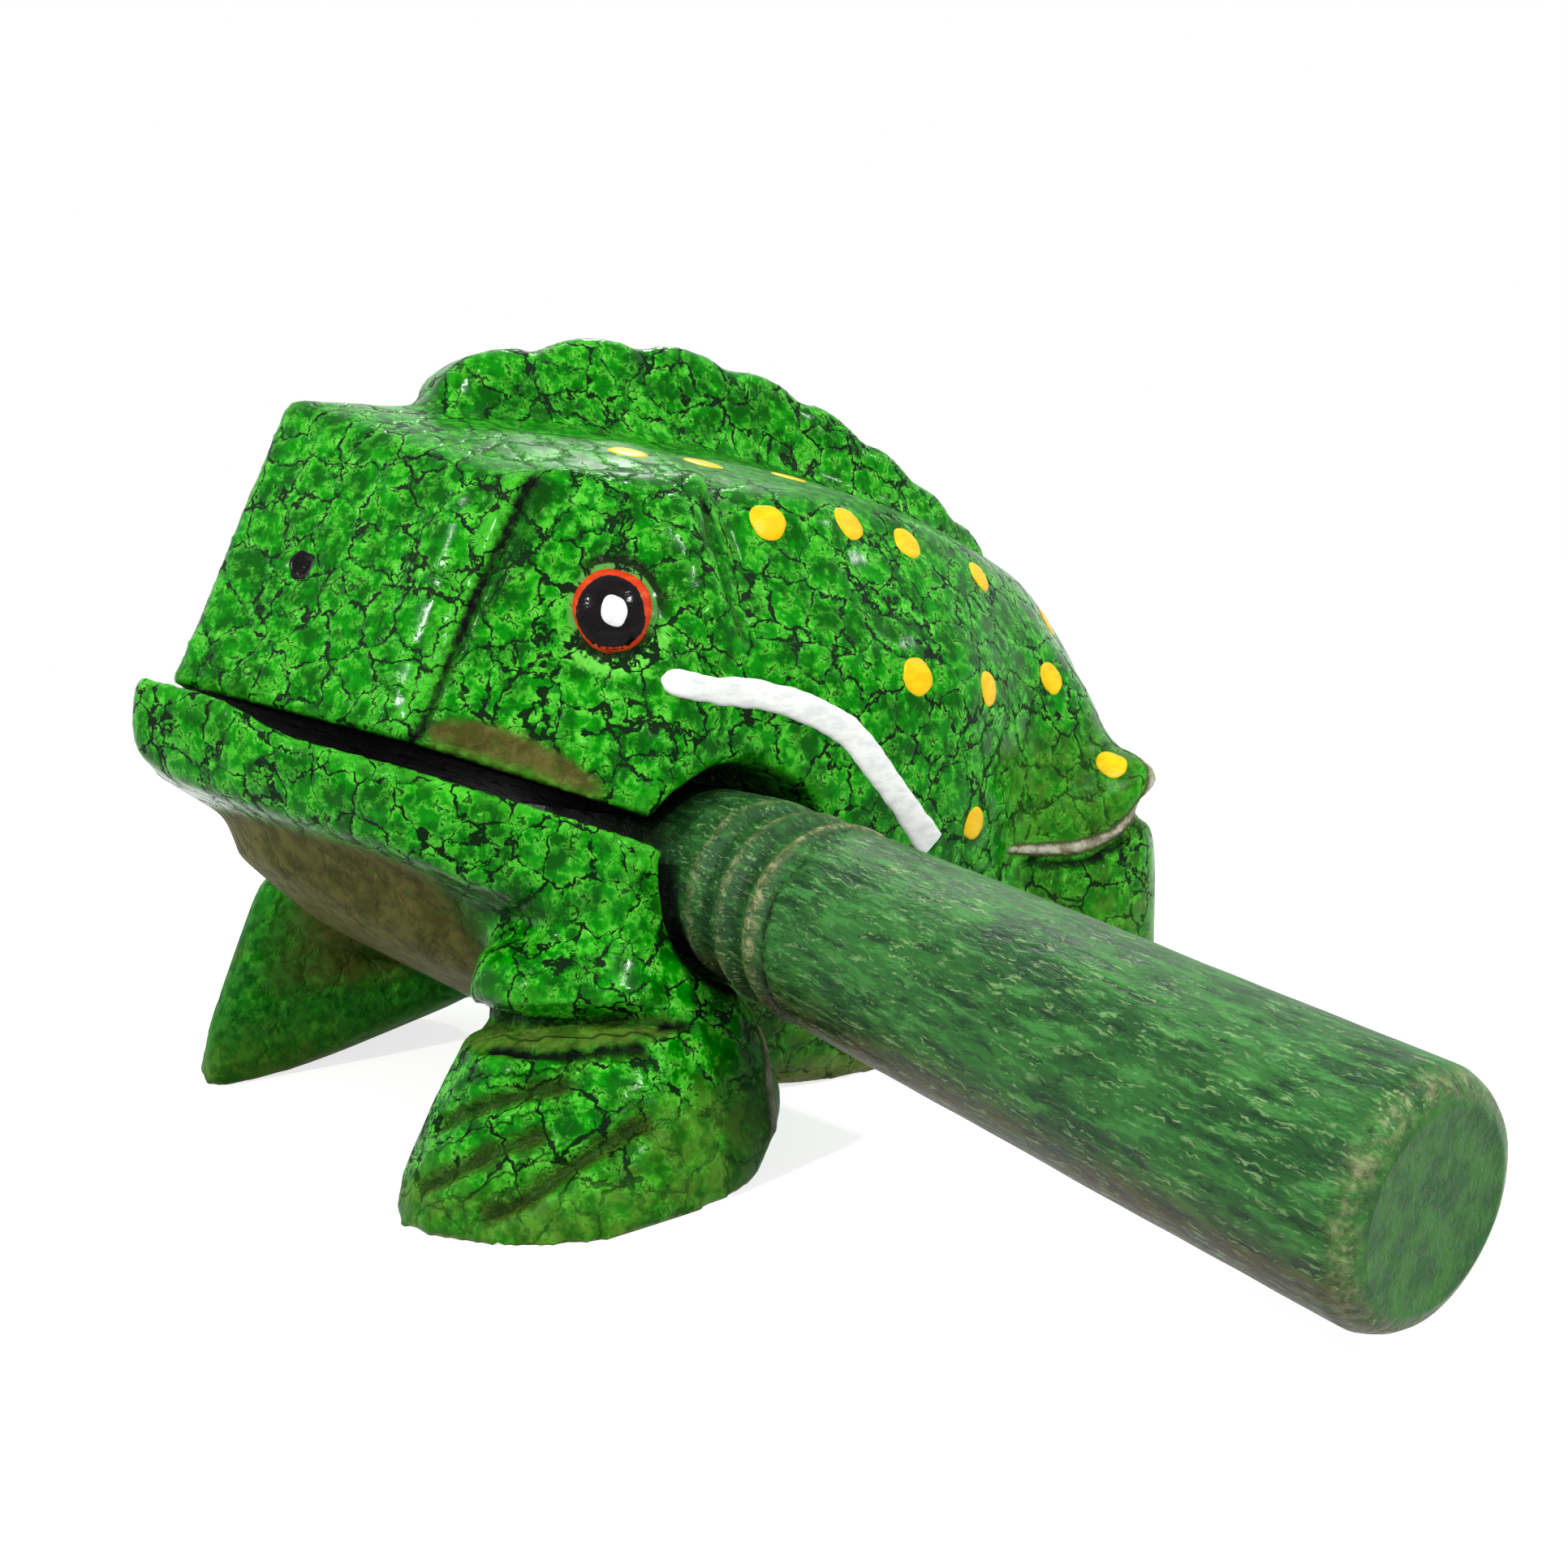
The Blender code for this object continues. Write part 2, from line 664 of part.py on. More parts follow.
def nostril_tool(side):
    bm = bmesh.new()
    place = Matrix.Translation(Vector((side * NOSTRIL_X, NOSTRIL_Y, NOSTRIL_Z)) * MM)
    bmesh.ops.create_uvsphere(bm, u_segments=10, v_segments=6, radius=NOSTRIL_RADIUS * MM, matrix=place)
    return cutter("nostril_cut", bm)


def make_body():
    body = carved_block()
    combine(body, ground_tool())
    skin = carved_surface(body)
    for side in (1, -1):
        combine(body, fold_tool(side))
        combine(body, cheek_tool(skin, side))
        combine(body, brow_tool(skin, side))
        combine(body, toe_tool(skin, side))
        combine(body, cutter("socket_cut", eye_shape(side, SOCKET_DEPTH, SOCKET_RADIUS, SOCKET_RADIUS + 0.7)))
        combine(body, cutter("eyeball", eye_shape(side, EYE_RISE, EYE_RADIUS, EYE_RADIUS + 0.2)), "UNION")
        combine(body, nostril_tool(side))
    combine(body, mouth_tool())
    combine(body, bore_tool())
    body.data.materials.append(material("carved_green", (0.02, 0.24, 0.01), 0.3))
    return body


def stick_droop():
    """The stick lies on the lower rim of the bore and its tip stops against the top of the bore."""
    droop = 0.0
    for _ in range(8):
        play = 2.0 * (BORE_RADIUS - FIT_GAP) - (NECK_RADIUS + TIP_RADIUS) / math.cos(droop)
        droop = math.asin(play / STICK_IN)
    return droop


def stick_profile():
    """Radius along the stick, from the tip inside the bore to the butt, as (distance, radius).

    Outside the bore the neck has worn collars with a cove behind each, and the last cove ends at the shaft.
    """
    total = STICK_IN + STICK_OUT
    points = [(0.0, 0.0), (0.0, TIP_RADIUS - TIP_EDGE), (TIP_EDGE, TIP_RADIUS), (STICK_IN, NECK_RADIUS)]
    shaft_start = STICK_IN + NECK_LENGTH
    for index in range(COLLAR_COUNT):
        crown = shaft_start - (COLLAR_COUNT - index - 0.4) * COLLAR_PITCH
        last = index == COLLAR_COUNT - 1
        cove_end = (shaft_start if last else crown + COLLAR_PITCH - COLLAR_HALF) - COVE_EDGE
        radius = NECK_RADIUS + COLLAR_RISE * (index + 1)
        points += [
            (crown - COLLAR_HALF, radius),
            (crown + COLLAR_HALF, radius),
            (crown + COLLAR_HALF + COVE_EDGE, radius - COVE_DEPTH),
            (cove_end, radius - COVE_DEPTH),
        ]
    points += [(shaft_start, STICK_RADIUS), (total - BUTT_ROUND, BUTT_RADIUS)]
    for step in range(1, BUTT_STEP_COUNT + 1):
        angle = math.radians(90.0 * step / BUTT_STEP_COUNT)
        along = total - BUTT_ROUND + BUTT_ROUND * math.sin(angle)
        points.append((along, BUTT_RADIUS - BUTT_ROUND + BUTT_ROUND * math.cos(angle)))
    points.append((total, 0.0))
    return points


def make_stick():
    bm = bmesh.new()
    rings = []
    for along, radius in stick_profile():
        if radius == 0.0:
            rings.append([bm.verts.new((along * MM, 0.0, 0.0))])
            continue
        ring = []
        for index in range(STICK_SIDE_COUNT):
            angle = 2.0 * math.pi * index / STICK_SIDE_COUNT
            point = Vector((along, radius * math.cos(angle), radius * math.sin(angle))) * MM
            ring.append(bm.verts.new(point))
        rings.append(ring)
    for first, second in zip(rings, rings[1:]):
        for index in range(STICK_SIDE_COUNT):
            following = (index + 1) % STICK_SIDE_COUNT
            corners = [first[index % len(first)], first[following % len(first)]]
            corners += [second[following % len(second)], second[index % len(second)]]
            bm.faces.new(list(dict.fromkeys(corners)))
    bmesh.ops.recalc_face_normals(bm, faces=bm.faces)
    stick = mesh_object("rasp_stick", bm)
    droop = stick_droop()
    rest_z = BORE_Z - (BORE_RADIUS - FIT_GAP) + NECK_RADIUS / math.cos(droop)
    rim = Matrix.Translation(Vector((MOUTH_CORNER_X, BORE_Y, rest_z)) * MM)
    slide = Matrix.Translation((-STICK_IN * MM, 0.0, 0.0))
    stick.matrix_world = rim @ Matrix.Rotation(droop, 4, "Y") @ slide
    stick.data.materials.append(material("stick_green", (0.01, 0.09, 0.03), 0.55))
    stick.data.shade_smooth()
    return stick


clear_scene()
make_body()
make_stick()
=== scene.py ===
"""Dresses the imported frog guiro: crackled green paint over the carving, painted eyes, dots and stripes."""
import math

import bmesh
import bpy
import numpy as np
from mathutils import Matrix, Vector, noise
from mathutils.bvhtree import BVHTree


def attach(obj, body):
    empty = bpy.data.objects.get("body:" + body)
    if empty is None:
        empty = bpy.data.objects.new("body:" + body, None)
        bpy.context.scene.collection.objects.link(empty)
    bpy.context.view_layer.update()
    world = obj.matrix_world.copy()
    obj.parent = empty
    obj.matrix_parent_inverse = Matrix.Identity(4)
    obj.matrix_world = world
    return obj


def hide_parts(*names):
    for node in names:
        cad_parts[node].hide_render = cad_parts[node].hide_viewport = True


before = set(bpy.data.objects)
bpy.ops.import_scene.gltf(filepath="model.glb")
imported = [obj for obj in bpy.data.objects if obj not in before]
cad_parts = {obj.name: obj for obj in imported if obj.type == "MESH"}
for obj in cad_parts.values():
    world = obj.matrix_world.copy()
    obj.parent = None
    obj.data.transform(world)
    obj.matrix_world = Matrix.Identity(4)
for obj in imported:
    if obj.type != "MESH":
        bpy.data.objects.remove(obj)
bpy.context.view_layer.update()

MM = 0.001
SIDES = (1, -1)

# Carving, in millimetres: step of the skin, rounds of softening, how far the tip of the lower lip comes up to
# close the mouth slot, and the rays that find the hollows that get painted shade
SKIN_STEP = 0.76
SKIN_ROUNDS = 3
BLUNT_ROUNDS = 40
CHIN_RISE = 2.1
RAY_COUNT = 12
RAY_REACH = 9.0

# Knife lines on the left side, which the right side mirrors
GROOVES = [
    [(26.6, -29.2, 64.2), (26.7, -31.5, 60.6), (26.3, -34.9, 55.3), (26.1, -39.1, 48.3), (25.9, -42.9, 41.7)],
    [(31.2, -14.3, 61.1), (34.0, -14.0, 54.5), (36.0, -13.7, 48.0)],
    [(32.8, -47.0, 8.5), (35.3, -45.1, 9.6), (37.9, -43.2, 10.6), (39.8, -40.9, 11.3), (41.5, -38.8, 11.9)],
    [(33.4, -49.7, 3.8), (36.3, -48.0, 5.1), (38.2, -45.9, 6.2), (39.6, -43.5, 7.1), (41.2, -41.4, 7.8)],
    [(40.9, -46.8, 2.4), (42.7, -43.9, 3.8), (43.6, -40.4, 5.1), (45.0, -37.1, 6.9), (46.1, -34.0, 8.4)],
    [(31.0, 24.1, 19.8), (31.9, 27.5, 19.2), (33.3, 31.7, 19.0), (34.1, 36.1, 20.9)],
    [(28.9, -40.8, 16.4), (35.5, -39.1, 16.3), (36.9, -35.9, 15.9), (40.0, -32.7, 15.6), (43.3, -27.4, 14.6)],
    [(34.5, -42.4, 14.3), (38.2, -40.6, 14.2), (41.3, -36.8, 13.9), (43.3, -32.3, 13.8)],
]
GROOVE_DEPTH = 0.45
GROOVE_REACH = 1.1
TOE_DEEPER = 0.35
TOE_WIDER = 0.4

# Raised edges of bare wood: the fold of the thigh and the heel
CORDS = [
    [(30.0, 22.0, 22.0), (31.0, 25.5, 21.2), (32.4, 29.0, 20.8), (33.0, 32.0, 21.0), (33.6, 35.3, 22.0),
     (34.0, 37.8, 24.0), (34.6, 40.1, 27.6), (33.6, 41.4, 30.2), (31.6, 42.4, 32.6)],
    [(44.6, -20.9, 4.0), (44.4, -20.6, 7.8), (43.5, -19.7, 9.6), (41.8, -18.6, 12.2)],
]
CORD_RISE = 0.35
CORD_REACH = 1.4

# Where the crack pattern starts, and how strongly the paints reflect head-on
CRACK_SHIFT = (7.0, 3.0, 11.0)
GLAZE_SHINE = 0.08
COAT_SHINE = 0.18
PUPIL_SHINE = 0.12
STICK_SHINE = 0.2

# Eye: its own X axis points out of the cheek
EYE = (33.0, -25.6, 51.2)
EYE_YAW = -31.0
EYE_PITCH = 17.0
EYE_RISE = 1.75
EYE_WIDE = 3.7
EYE_TALL = 4.05
PUPIL_HALVES = (3.16, 3.46)
PUPIL_RISE = 0.10
GLINT_HALVES = (1.28, 1.58)
GLINT_RISE = 0.24

# Nostril: its place, and the direction that it is drilled from
NOSTRIL = (8.8, -45.7, 58.1)
NOSTRIL_WAY = (0.44, -0.79, 0.42)
NOSTRIL_RISE = 0.12

# Yellow dots of the left side, as place and radius, row by row from the crest down, and the white stroke
DOTS = [
    (18.6, -14.4, 66.9, 2.1), (17.6, -5.0, 65.8, 2.1), (16.6, 6.4, 64.2, 2.1),
    (10.4, 20.5, 62.4, 1.9), (9.6, 32.0, 57.0, 1.7),
    (31.0, -6.4, 58.7, 1.95), (30.3, 3.9, 58.2, 1.9), (29.9, 11.5, 55.8, 1.85),
    (27.8, 22.9, 51.7, 1.8), (19.2, 40.4, 45.7, 1.8),
    (37.6, 5.5, 42.3, 1.95), (35.1, 16.9, 40.0, 1.85), (29.0, 31.4, 39.7, 1.85),
    (32.7, 36.4, 29.6, 1.85), (35.8, 13.1, 26.2, 1.75),
]
DOT_RISE = 0.15
STRIPE = [
    (36.9, -23.4, 44.8), (37.9, -18.5, 43.3), (37.4, -13.3, 42.4), (37.9, -7.9, 40.3),
    (38.1, -3.6, 37.5), (38.3, -0.6, 33.6), (37.7, 3.0, 29.0), (36.6, 6.7, 24.9),
]
STRIPE_RISE = 0.32
STRIPE_STEPS = 72

# Stick, in millimetres along its axis from the inner end: pale collars as place, half width and wear, coves
# between them that get painted shade, and the seams that close the neck
COLLARS = [(36.5, 0.5, 0.55), (41.6, 0.6, 0.65), (46.6, 1.0, 1.0)]
COVES = (38.6, 43.8)
NECK_SEAM = 43.9
NECK_END = 48.3
BUTT_FLAT = 6.6
STICK_STEP = 0.5
STICK_SIDES = 96

# Mouth plane, as in the part: its front (Y, Z), its slope, and the snout's corner above it (X, Y)
MOUTH_FRONT = (-57.0, 48.0)
MOUTH_SLOPE = -0.505
SNOUT_CORNER = (25.6, -43.7)

# Light: lamps as name, place and size in metres, and power
WORLD_LIGHT = 0.45
FLOOR_PALE = 0.5
FLOOR_GLOW = 0.775
LAMPS = [
    ("key", (0.70, 0.02, 0.60), 0.05, 4.3),
    ("front", (0.10, -0.70, 0.60), 0.05, 3.5),
    ("rear", (0.38, 0.66, 0.50), 0.035, 0.8),
    ("back", (-0.45, 0.38, 0.62), 0.06, 1.6),
]

# Camera, fitted to the photograph
VIEW_AZIMUTH = 56.31
VIEW_ELEVATION = 6.39
VIEW_ROLL = -4.75
VIEW_DISTANCE = 195.36
VIEW_TARGET = (4.6, 10.44, 29.27)
FOCAL_PIXELS = 2029.41
IMAGE_PIXELS = 1932
SENSOR = 36.0


def linear(red, green, blue):
    """A colour written as the screen shows it, 0 to 255, as the linear colour that shaders take."""
    parts = []
    for part in (red, green, blue):
        part /= 255.0
        parts.append(part / 12.92 if part <= 0.04045 else ((part + 0.055) / 1.055) ** 2.4)
    return (*parts, 1.0)


def mouth_z(y):
    return MOUTH_FRONT[1] + MOUTH_SLOPE * (y - MOUTH_FRONT[0])


def link_object(name, mesh):
    made = bpy.data.objects.new(name, mesh)
    bpy.context.scene.collection.objects.link(made)
    return made


def mesh_from(bm, name):
    mesh = bpy.data.meshes.new(name)
    bm.to_mesh(mesh)
    bm.free()
    mesh.shade_smooth()
    return mesh


def ease(values, start, end):
    """0 before start and 1 after end, smoothly, also where start is the larger."""
    share = np.clip((values - start) / (end - start), 0.0, 1.0)
    return share * share * (3.0 - 2.0 * share)


def set_values(mesh, name, values):
    layer = mesh.attributes.new(name, "FLOAT", "POINT")
    layer.data.foreach_set("value", values.astype(np.float32))


def set_mask(mesh, name, values):
    set_values(mesh, name, np.clip(values, 0.0, 1.0))


class Nodes:
    """Short names for the nodes of one material, whose Principled shader is self.shader."""

    def __init__(self, name):
        self.material = bpy.data.materials.new(name)
        self.material.use_nodes = True
        self.tree = self.material.node_tree
        self.shader = self.tree.nodes["Principled BSDF"]

    def add(self, kind, **settings):
        made = self.tree.nodes.new("ShaderNode" + kind)
        for key, value in settings.items():
            setattr(made, key, value)
        return made

    def put(self, value, socket):
        if isinstance(value, bpy.types.NodeSocket):
            self.tree.links.new(value, socket)
        else:
            socket.default_value = value

    def set(self, **inputs):
        for key, value in inputs.items():
            self.put(value, self.shader.inputs[key.replace("_", " ")])

    def math(self, operation, first, second=0.0):
        made = self.add("Math", operation=operation)
        self.put(first, made.inputs[0])
        self.put(second, made.inputs[1])
        return made.outputs[0]

    def ease(self, value, start, end, low=0.0, high=1.0):
        made = self.add("MapRange", interpolation_type="SMOOTHSTEP")
        for given, socket in zip((value, start, end, low, high), made.inputs):
            self.put(given, socket)
        return made.outputs[0]

    def mix(self, share, first, second):
        made = self.add("Mix", data_type="RGBA")
        self.put(share, made.inputs["Factor"])
        self.put(first, made.inputs[6])
        self.put(second, made.inputs[7])
        return made.outputs[2]

    def move(self, operation, first, second):
        made = self.add("VectorMath", operation=operation)
        self.put(first, made.inputs[0])
        if operation == "SCALE":
            self.put(second, made.inputs["Scale"])
        else:
            self.put(second, made.inputs[1])
        return made.outputs[0]

    def place(self):
        """The point on the object, in millimetres."""
        return self.move("SCALE", self.add("TexCoord").outputs["Object"], 1000.0)

    def noise(self, place, size, detail, rough, colour=False):
        """Cloudy noise whose blotches are about size millimetres wide, around 0.5."""
        made = self.add("TexNoise")
        self.put(place, made.inputs["Vector"])
        self.put(1.0 / size, made.inputs["Scale"])
        self.put(detail, made.inputs["Detail"])
        self.put(rough, made.inputs["Roughness"])
        return made.outputs["Color" if colour else "Fac"]

    def cracks(self, place, size):
        """Distance in millimetres to the nearest crack between cells about size wide."""
        made = self.add("TexVoronoi", feature="DISTANCE_TO_EDGE")
        self.put(place, made.inputs["Vector"])
        self.put(1.0 / size, made.inputs["Scale"])
        return self.math("MULTIPLY", made.outputs["Distance"], size)

    def mask(self, name):
        return self.add("Attribute", attribute_name=name).outputs["Fac"]

    def dot(self, first, second):
        made = self.add("VectorMath", operation="DOT_PRODUCT")
        self.put(first, made.inputs[0])
        self.put(second, made.inputs[1])
        return made.outputs["Value"]

    def both(self, first, *others):
        """The product of several shares."""
        for other in others:
            first = self.math("MULTIPLY", first, other)
        return first

    def most(self, first, *others):
        for other in others:
            first = self.math("MAXIMUM", first, other)
        return first

    def blotch(self, place, size, start, end, low=0.0, high=1.0):
        """Rough-edged blotches: noise of this size eased between two of its values."""
        return self.ease(self.noise(place, size, 3.0, 0.62), start, end, low, high)

    def shake(self, place, size, reach):
        """The place moved about by up to half of reach millimetres."""
        cloud = self.noise(place, size, 2.0, 0.6, colour=True)
        offset = self.move("SUBTRACT", cloud, (0.5, 0.5, 0.5))
        return self.move("ADD", place, self.move("SCALE", offset, reach))

    def eye_frame(self, place):
        """Across and up shares of the eye's size from its centre, their length, and the depth below it."""
        split = self.add("SeparateXYZ")
        self.put(place, split.inputs[0])
        joined = self.add("CombineXYZ")
        self.put(self.math("ABSOLUTE", split.outputs[0]), joined.inputs[0])
        self.put(split.outputs[1], joined.inputs[1])
        self.put(split.outputs[2], joined.inputs[2])
        offset = self.move("SUBTRACT", joined.outputs[0], EYE)
        turn = eye_place(1).to_3x3()
        depth = self.math("ABSOLUTE", self.dot(offset, tuple(turn.col[0])))
        across = self.dot(offset, tuple(turn.col[1] / EYE_WIDE))
        upward = self.dot(offset, tuple(turn.col[2] / EYE_TALL))
        reach = self.math("SQRT", self.math("ADD", self.both(across, across), self.both(upward, upward)))
        return across, upward, reach, depth

    def bump(self, height, depth, strength):
        """Height from 0 to 1 becomes relief depth millimetres deep."""
        made = self.add("Bump")
        self.put(strength, made.inputs["Strength"])
        self.put(depth * MM, made.inputs["Distance"])
        self.put(height, made.inputs["Height"])
        return made.outputs["Normal"]


def crack_network(n, place, plain):
    """Distances to the wide and to the fine cracks, and how dark a line shows."""
    bent = n.shake(n.move("ADD", place, CRACK_SHIFT), 3.4, 2.8)
    bent = n.shake(n.shake(bent, 1.1, 1.4), 0.35, 0.36)
    wide = n.cracks(bent, 4.7)
    fine = n.cracks(n.shake(bent, 1.5, 1.0), 2.1)
    gape = n.both(n.blotch(place, 1.9, 0.36, 0.62, 0.015, 0.23), n.blotch(place, 9.0, 0.34, 0.52, 0.6, 1.0))
    crack = n.ease(wide, n.math("ADD", gape, 0.02), n.both(gape, 0.6))
    slit = n.blotch(place, 1.5, 0.50, 0.66, 0.0, 0.10)
    hair = n.ease(fine, n.math("ADD", slit, 0.02), n.both(slit, 0.6))
    hair = n.both(hair, n.ease(slit, 0.01, 0.05), 0.85)
    kept = n.ease(plain, 0.2, 0.9, 1.0, 0.15)
    return wide, fine, n.both(n.most(crack, hair), kept)


def glaze_colour(n, place, wide, fine, grit):
    """Clouded green, brighter towards the cracks, with pale flecks and darker patches."""
    mottle = n.noise(n.shake(place, 0.6, 0.5), 1.5, 4.0, 0.64)
    cloud = n.noise(place, 3.4, 4.0, 0.6)
    colour = n.mix(n.ease(cloud, 0.42, 0.58), linear(0, 88, 0), linear(0, 134, 0))
    rim = n.both(n.ease(wide, 1.7, 0.2), n.ease(mottle, 0.42, 0.56))
    colour = n.mix(n.both(rim, n.ease(cloud, 0.40, 0.54, 0.45, 0.9)), colour, linear(22, 162, 8))
    nearest = n.math("MINIMUM", wide, n.math("ADD", fine, 0.2))
    edge = n.both(n.ease(nearest, 0.75, 0.25), n.ease(mottle, 0.46, 0.58))
    colour = n.mix(n.both(edge, n.ease(cloud, 0.40, 0.56, 0.35, 0.85)), colour, linear(90, 206, 54))
    fleck = n.both(n.ease(mottle, 0.60, 0.68), n.ease(grit, 0.42, 0.56))
    colour = n.mix(n.both(fleck, 0.7), colour, linear(112, 220, 74))
    return n.mix(n.both(n.ease(mottle, 0.44, 0.34), 0.6), colour, linear(0, 84, 0))


def worn_colour(n, place, grit, colour):
    """The glaze where the masks make it duller (partly painted shade on the far side's low parts),
    olive-green low down, brown (with painted shade in the toe furrows), rubbed bare or brighter with painted
    highlights.
    """
    # Duller green: the glaze's own dull top of the back, and painted shade on the far side's low parts
    duller_green = n.mix(n.blotch(place, 1.3, 0.40, 0.60), linear(6, 84, 8), linear(46, 124, 34))
    colour = n.mix(n.both(n.mask("dull_and_far_leg_shade"), n.blotch(place, 4.0, 0.36, 0.56, 0.35, 0.9)), colour, duller_green)
    low_olive_green = n.mix(n.blotch(place, 1.8, 0.40, 0.60), linear(40, 92, 12), linear(88, 134, 40))
    colour = n.mix(n.both(n.mask("low_olive"), n.blotch(place, 2.4, 0.32, 0.55, 0.4, 0.9)), colour, low_olive_green)
    brown = n.mix(n.blotch(place, 2.2, 0.38, 0.62), linear(70, 68, 24), linear(98, 94, 44))
    colour = n.mix(n.both(n.mask("olive"), n.blotch(place, 1.2, 0.28, 0.46, 0.86, 1.0)), colour, brown)
    wood = n.mix(n.blotch(place, 2.6, 0.4, 0.6), linear(112, 122, 58), linear(158, 158, 96))
    colour = n.mix(n.both(n.mask("bare"), 0.85), colour, wood)
    # Painted highlight: brighter green on the lit groove wall, the lip and raised ridges
    painted_highlight = n.both(n.mask("painted_highlight"), n.ease(grit, 0.34, 0.56, 0.25, 1.0), 0.85)
    return n.mix(painted_highlight, colour, linear(70, 190, 40))


def eye_surround(n, place, grit, colour):
    """A dark line of painted shade around the eye, and a bright strip of painted highlight on the socket's
    rim below it.
    """
    across, upward, reach, depth = n.eye_frame(place)
    here = n.ease(depth, 5.0, 3.0)
    below = n.ease(n.math("DIVIDE", upward, reach), -0.1, -0.7)
    above = n.math("ADD", n.both(across, 0.5), n.both(upward, 0.87))
    above = n.ease(n.math("DIVIDE", above, reach), 0.15, 0.75)
    ragged = n.math("ADD", reach, n.ease(grit, 0.3, 0.7, -0.10, 0.10))
    # Painted highlight: a bright strip on the socket's rim below the eye
    lit_band = n.both(n.ease(ragged, 1.62, 1.40), n.ease(ragged, 1.14, 1.24), below, here)
    colour = n.mix(n.both(lit_band, 0.8), colour, linear(112, 220, 76))
    brow_shade = n.both(above, n.ease(ragged, 1.50, 1.26), n.ease(reach, 1.06, 1.14))
    shade = n.most(brow_shade, n.both(below, n.ease(ragged, 1.24, 1.14)))
    colour = n.mix(n.both(shade, here, 0.93), colour, linear(20, 16, 8))
    lid = n.both(n.ease(reach, 1.13, 1.08), n.math("SUBTRACT", 1.0, below), here)
    return n.mix(n.both(lid, 0.8), colour, linear(96, 158, 72))


def crackled_paint():
    """Thick green glaze broken into cells by dark cracks, thinner and browner where the masks say so, with
    painted shade in hollows, knife lines and on the far side's low parts, and painted highlights on lit
    walls, the lower lip and ridges.
    """
    n = Nodes("crackled_green")
    place = n.place()
    plain = n.most(n.mask("dull_and_far_leg_shade"), n.mask("olive"), n.both(n.mask("low_olive"), 0.7))
    wide, fine, lines = crack_network(n, place, plain)
    grit = n.noise(n.shake(place, 0.5, 0.3), 0.62, 4.0, 0.7)
    colour = glaze_colour(n, place, wide, fine, grit)
    colour = worn_colour(n, place, grit, colour)
    colour = eye_surround(n, place, grit, colour)

    # Painted shade along the middle of the knife lines
    groove = n.math("ABSOLUTE", n.math("ADD", n.mask("groove"), n.ease(grit, 0.3, 0.7, -0.22, 0.22)))
    carved = n.both(n.ease(groove, 0.62, 0.22), n.mask("groove_show"))
    cord = n.math("ABSOLUTE", n.math("ADD", n.mask("cord"), n.ease(grit, 0.3, 0.7, -0.08, 0.08)))
    corded = n.both(n.ease(cord, 0.95, 0.75), n.mask("cord_show"))
    pale = n.mix(n.blotch(place, 2.0, 0.38, 0.60), linear(150, 142, 118), linear(206, 200, 182))
    pale = n.mix(n.ease(cord, 0.2, 0.7), pale, linear(70, 74, 44))
    lines = n.both(lines, n.math("SUBTRACT", 1.0, corded))
    colour = n.mix(lines, colour, linear(0, 30, 2))
    colour = n.mix(n.both(carved, 0.66), colour, linear(0, 42, 0))
    colour = n.mix(n.both(corded, 0.9), colour, pale)
    colour = n.mix(n.both(n.mask("shade"), 0.72), colour, linear(2, 50, 2))
    # Near-black painted shade in the mouth slot, the bore and other hollows, and in creases
    colour = n.mix(n.mask("hollow_shade"), colour, linear(0, 4, 0))

    height = n.math("ADD", n.both(n.ease(wide, 0.0, 0.6), 0.5), n.both(n.noise(place, 3.0, 1.0, 0.5), 0.7))
    height = n.math("SUBTRACT", n.math("ADD", height, n.both(grit, 0.05)), n.both(lines, 0.6))
    height = n.math("SUBTRACT", height, n.both(n.ease(groove, 1.1, 0.0), n.mask("groove_show"), 1.6))
    height = n.math("ADD", height, n.both(n.ease(cord, 1.1, 0.0), n.mask("cord_show"), 1.4))
    height = n.both(height, n.ease(n.mask("smooth"), 0.0, 1.0, 1.0, 0.4))
    matt = n.most(plain, corded, n.mask("bare"), n.mask("hollow_shade"))
    gloss = n.math("ADD", n.ease(matt, 0.0, 1.0, 0.14, 0.6), n.both(lines, 0.35))
    n.set(Base_Color=colour, Roughness=gloss, Normal=n.bump(height, 0.28, 0.8))
    n.shader.inputs["Specular IOR Level"].default_value = GLAZE_SHINE
    return n.material


def thick_paint(name, colour, second, roughness, shine=COAT_SHINE):
    """A brushed coat with faint streaks and a soft relief."""
    n = Nodes(name)
    place = n.place()
    streak = n.noise(n.move("MULTIPLY", place, (1.0, 0.5, 1.4)), 1.1, 3.0, 0.6)
    n.set(
        Base_Color=n.mix(n.ease(streak, 0.40, 0.66), colour, second),
        Roughness=roughness,
        Normal=n.bump(streak, 0.12, 0.5),
    )
    n.shader.inputs["Specular IOR Level"].default_value = shine
    return n.material


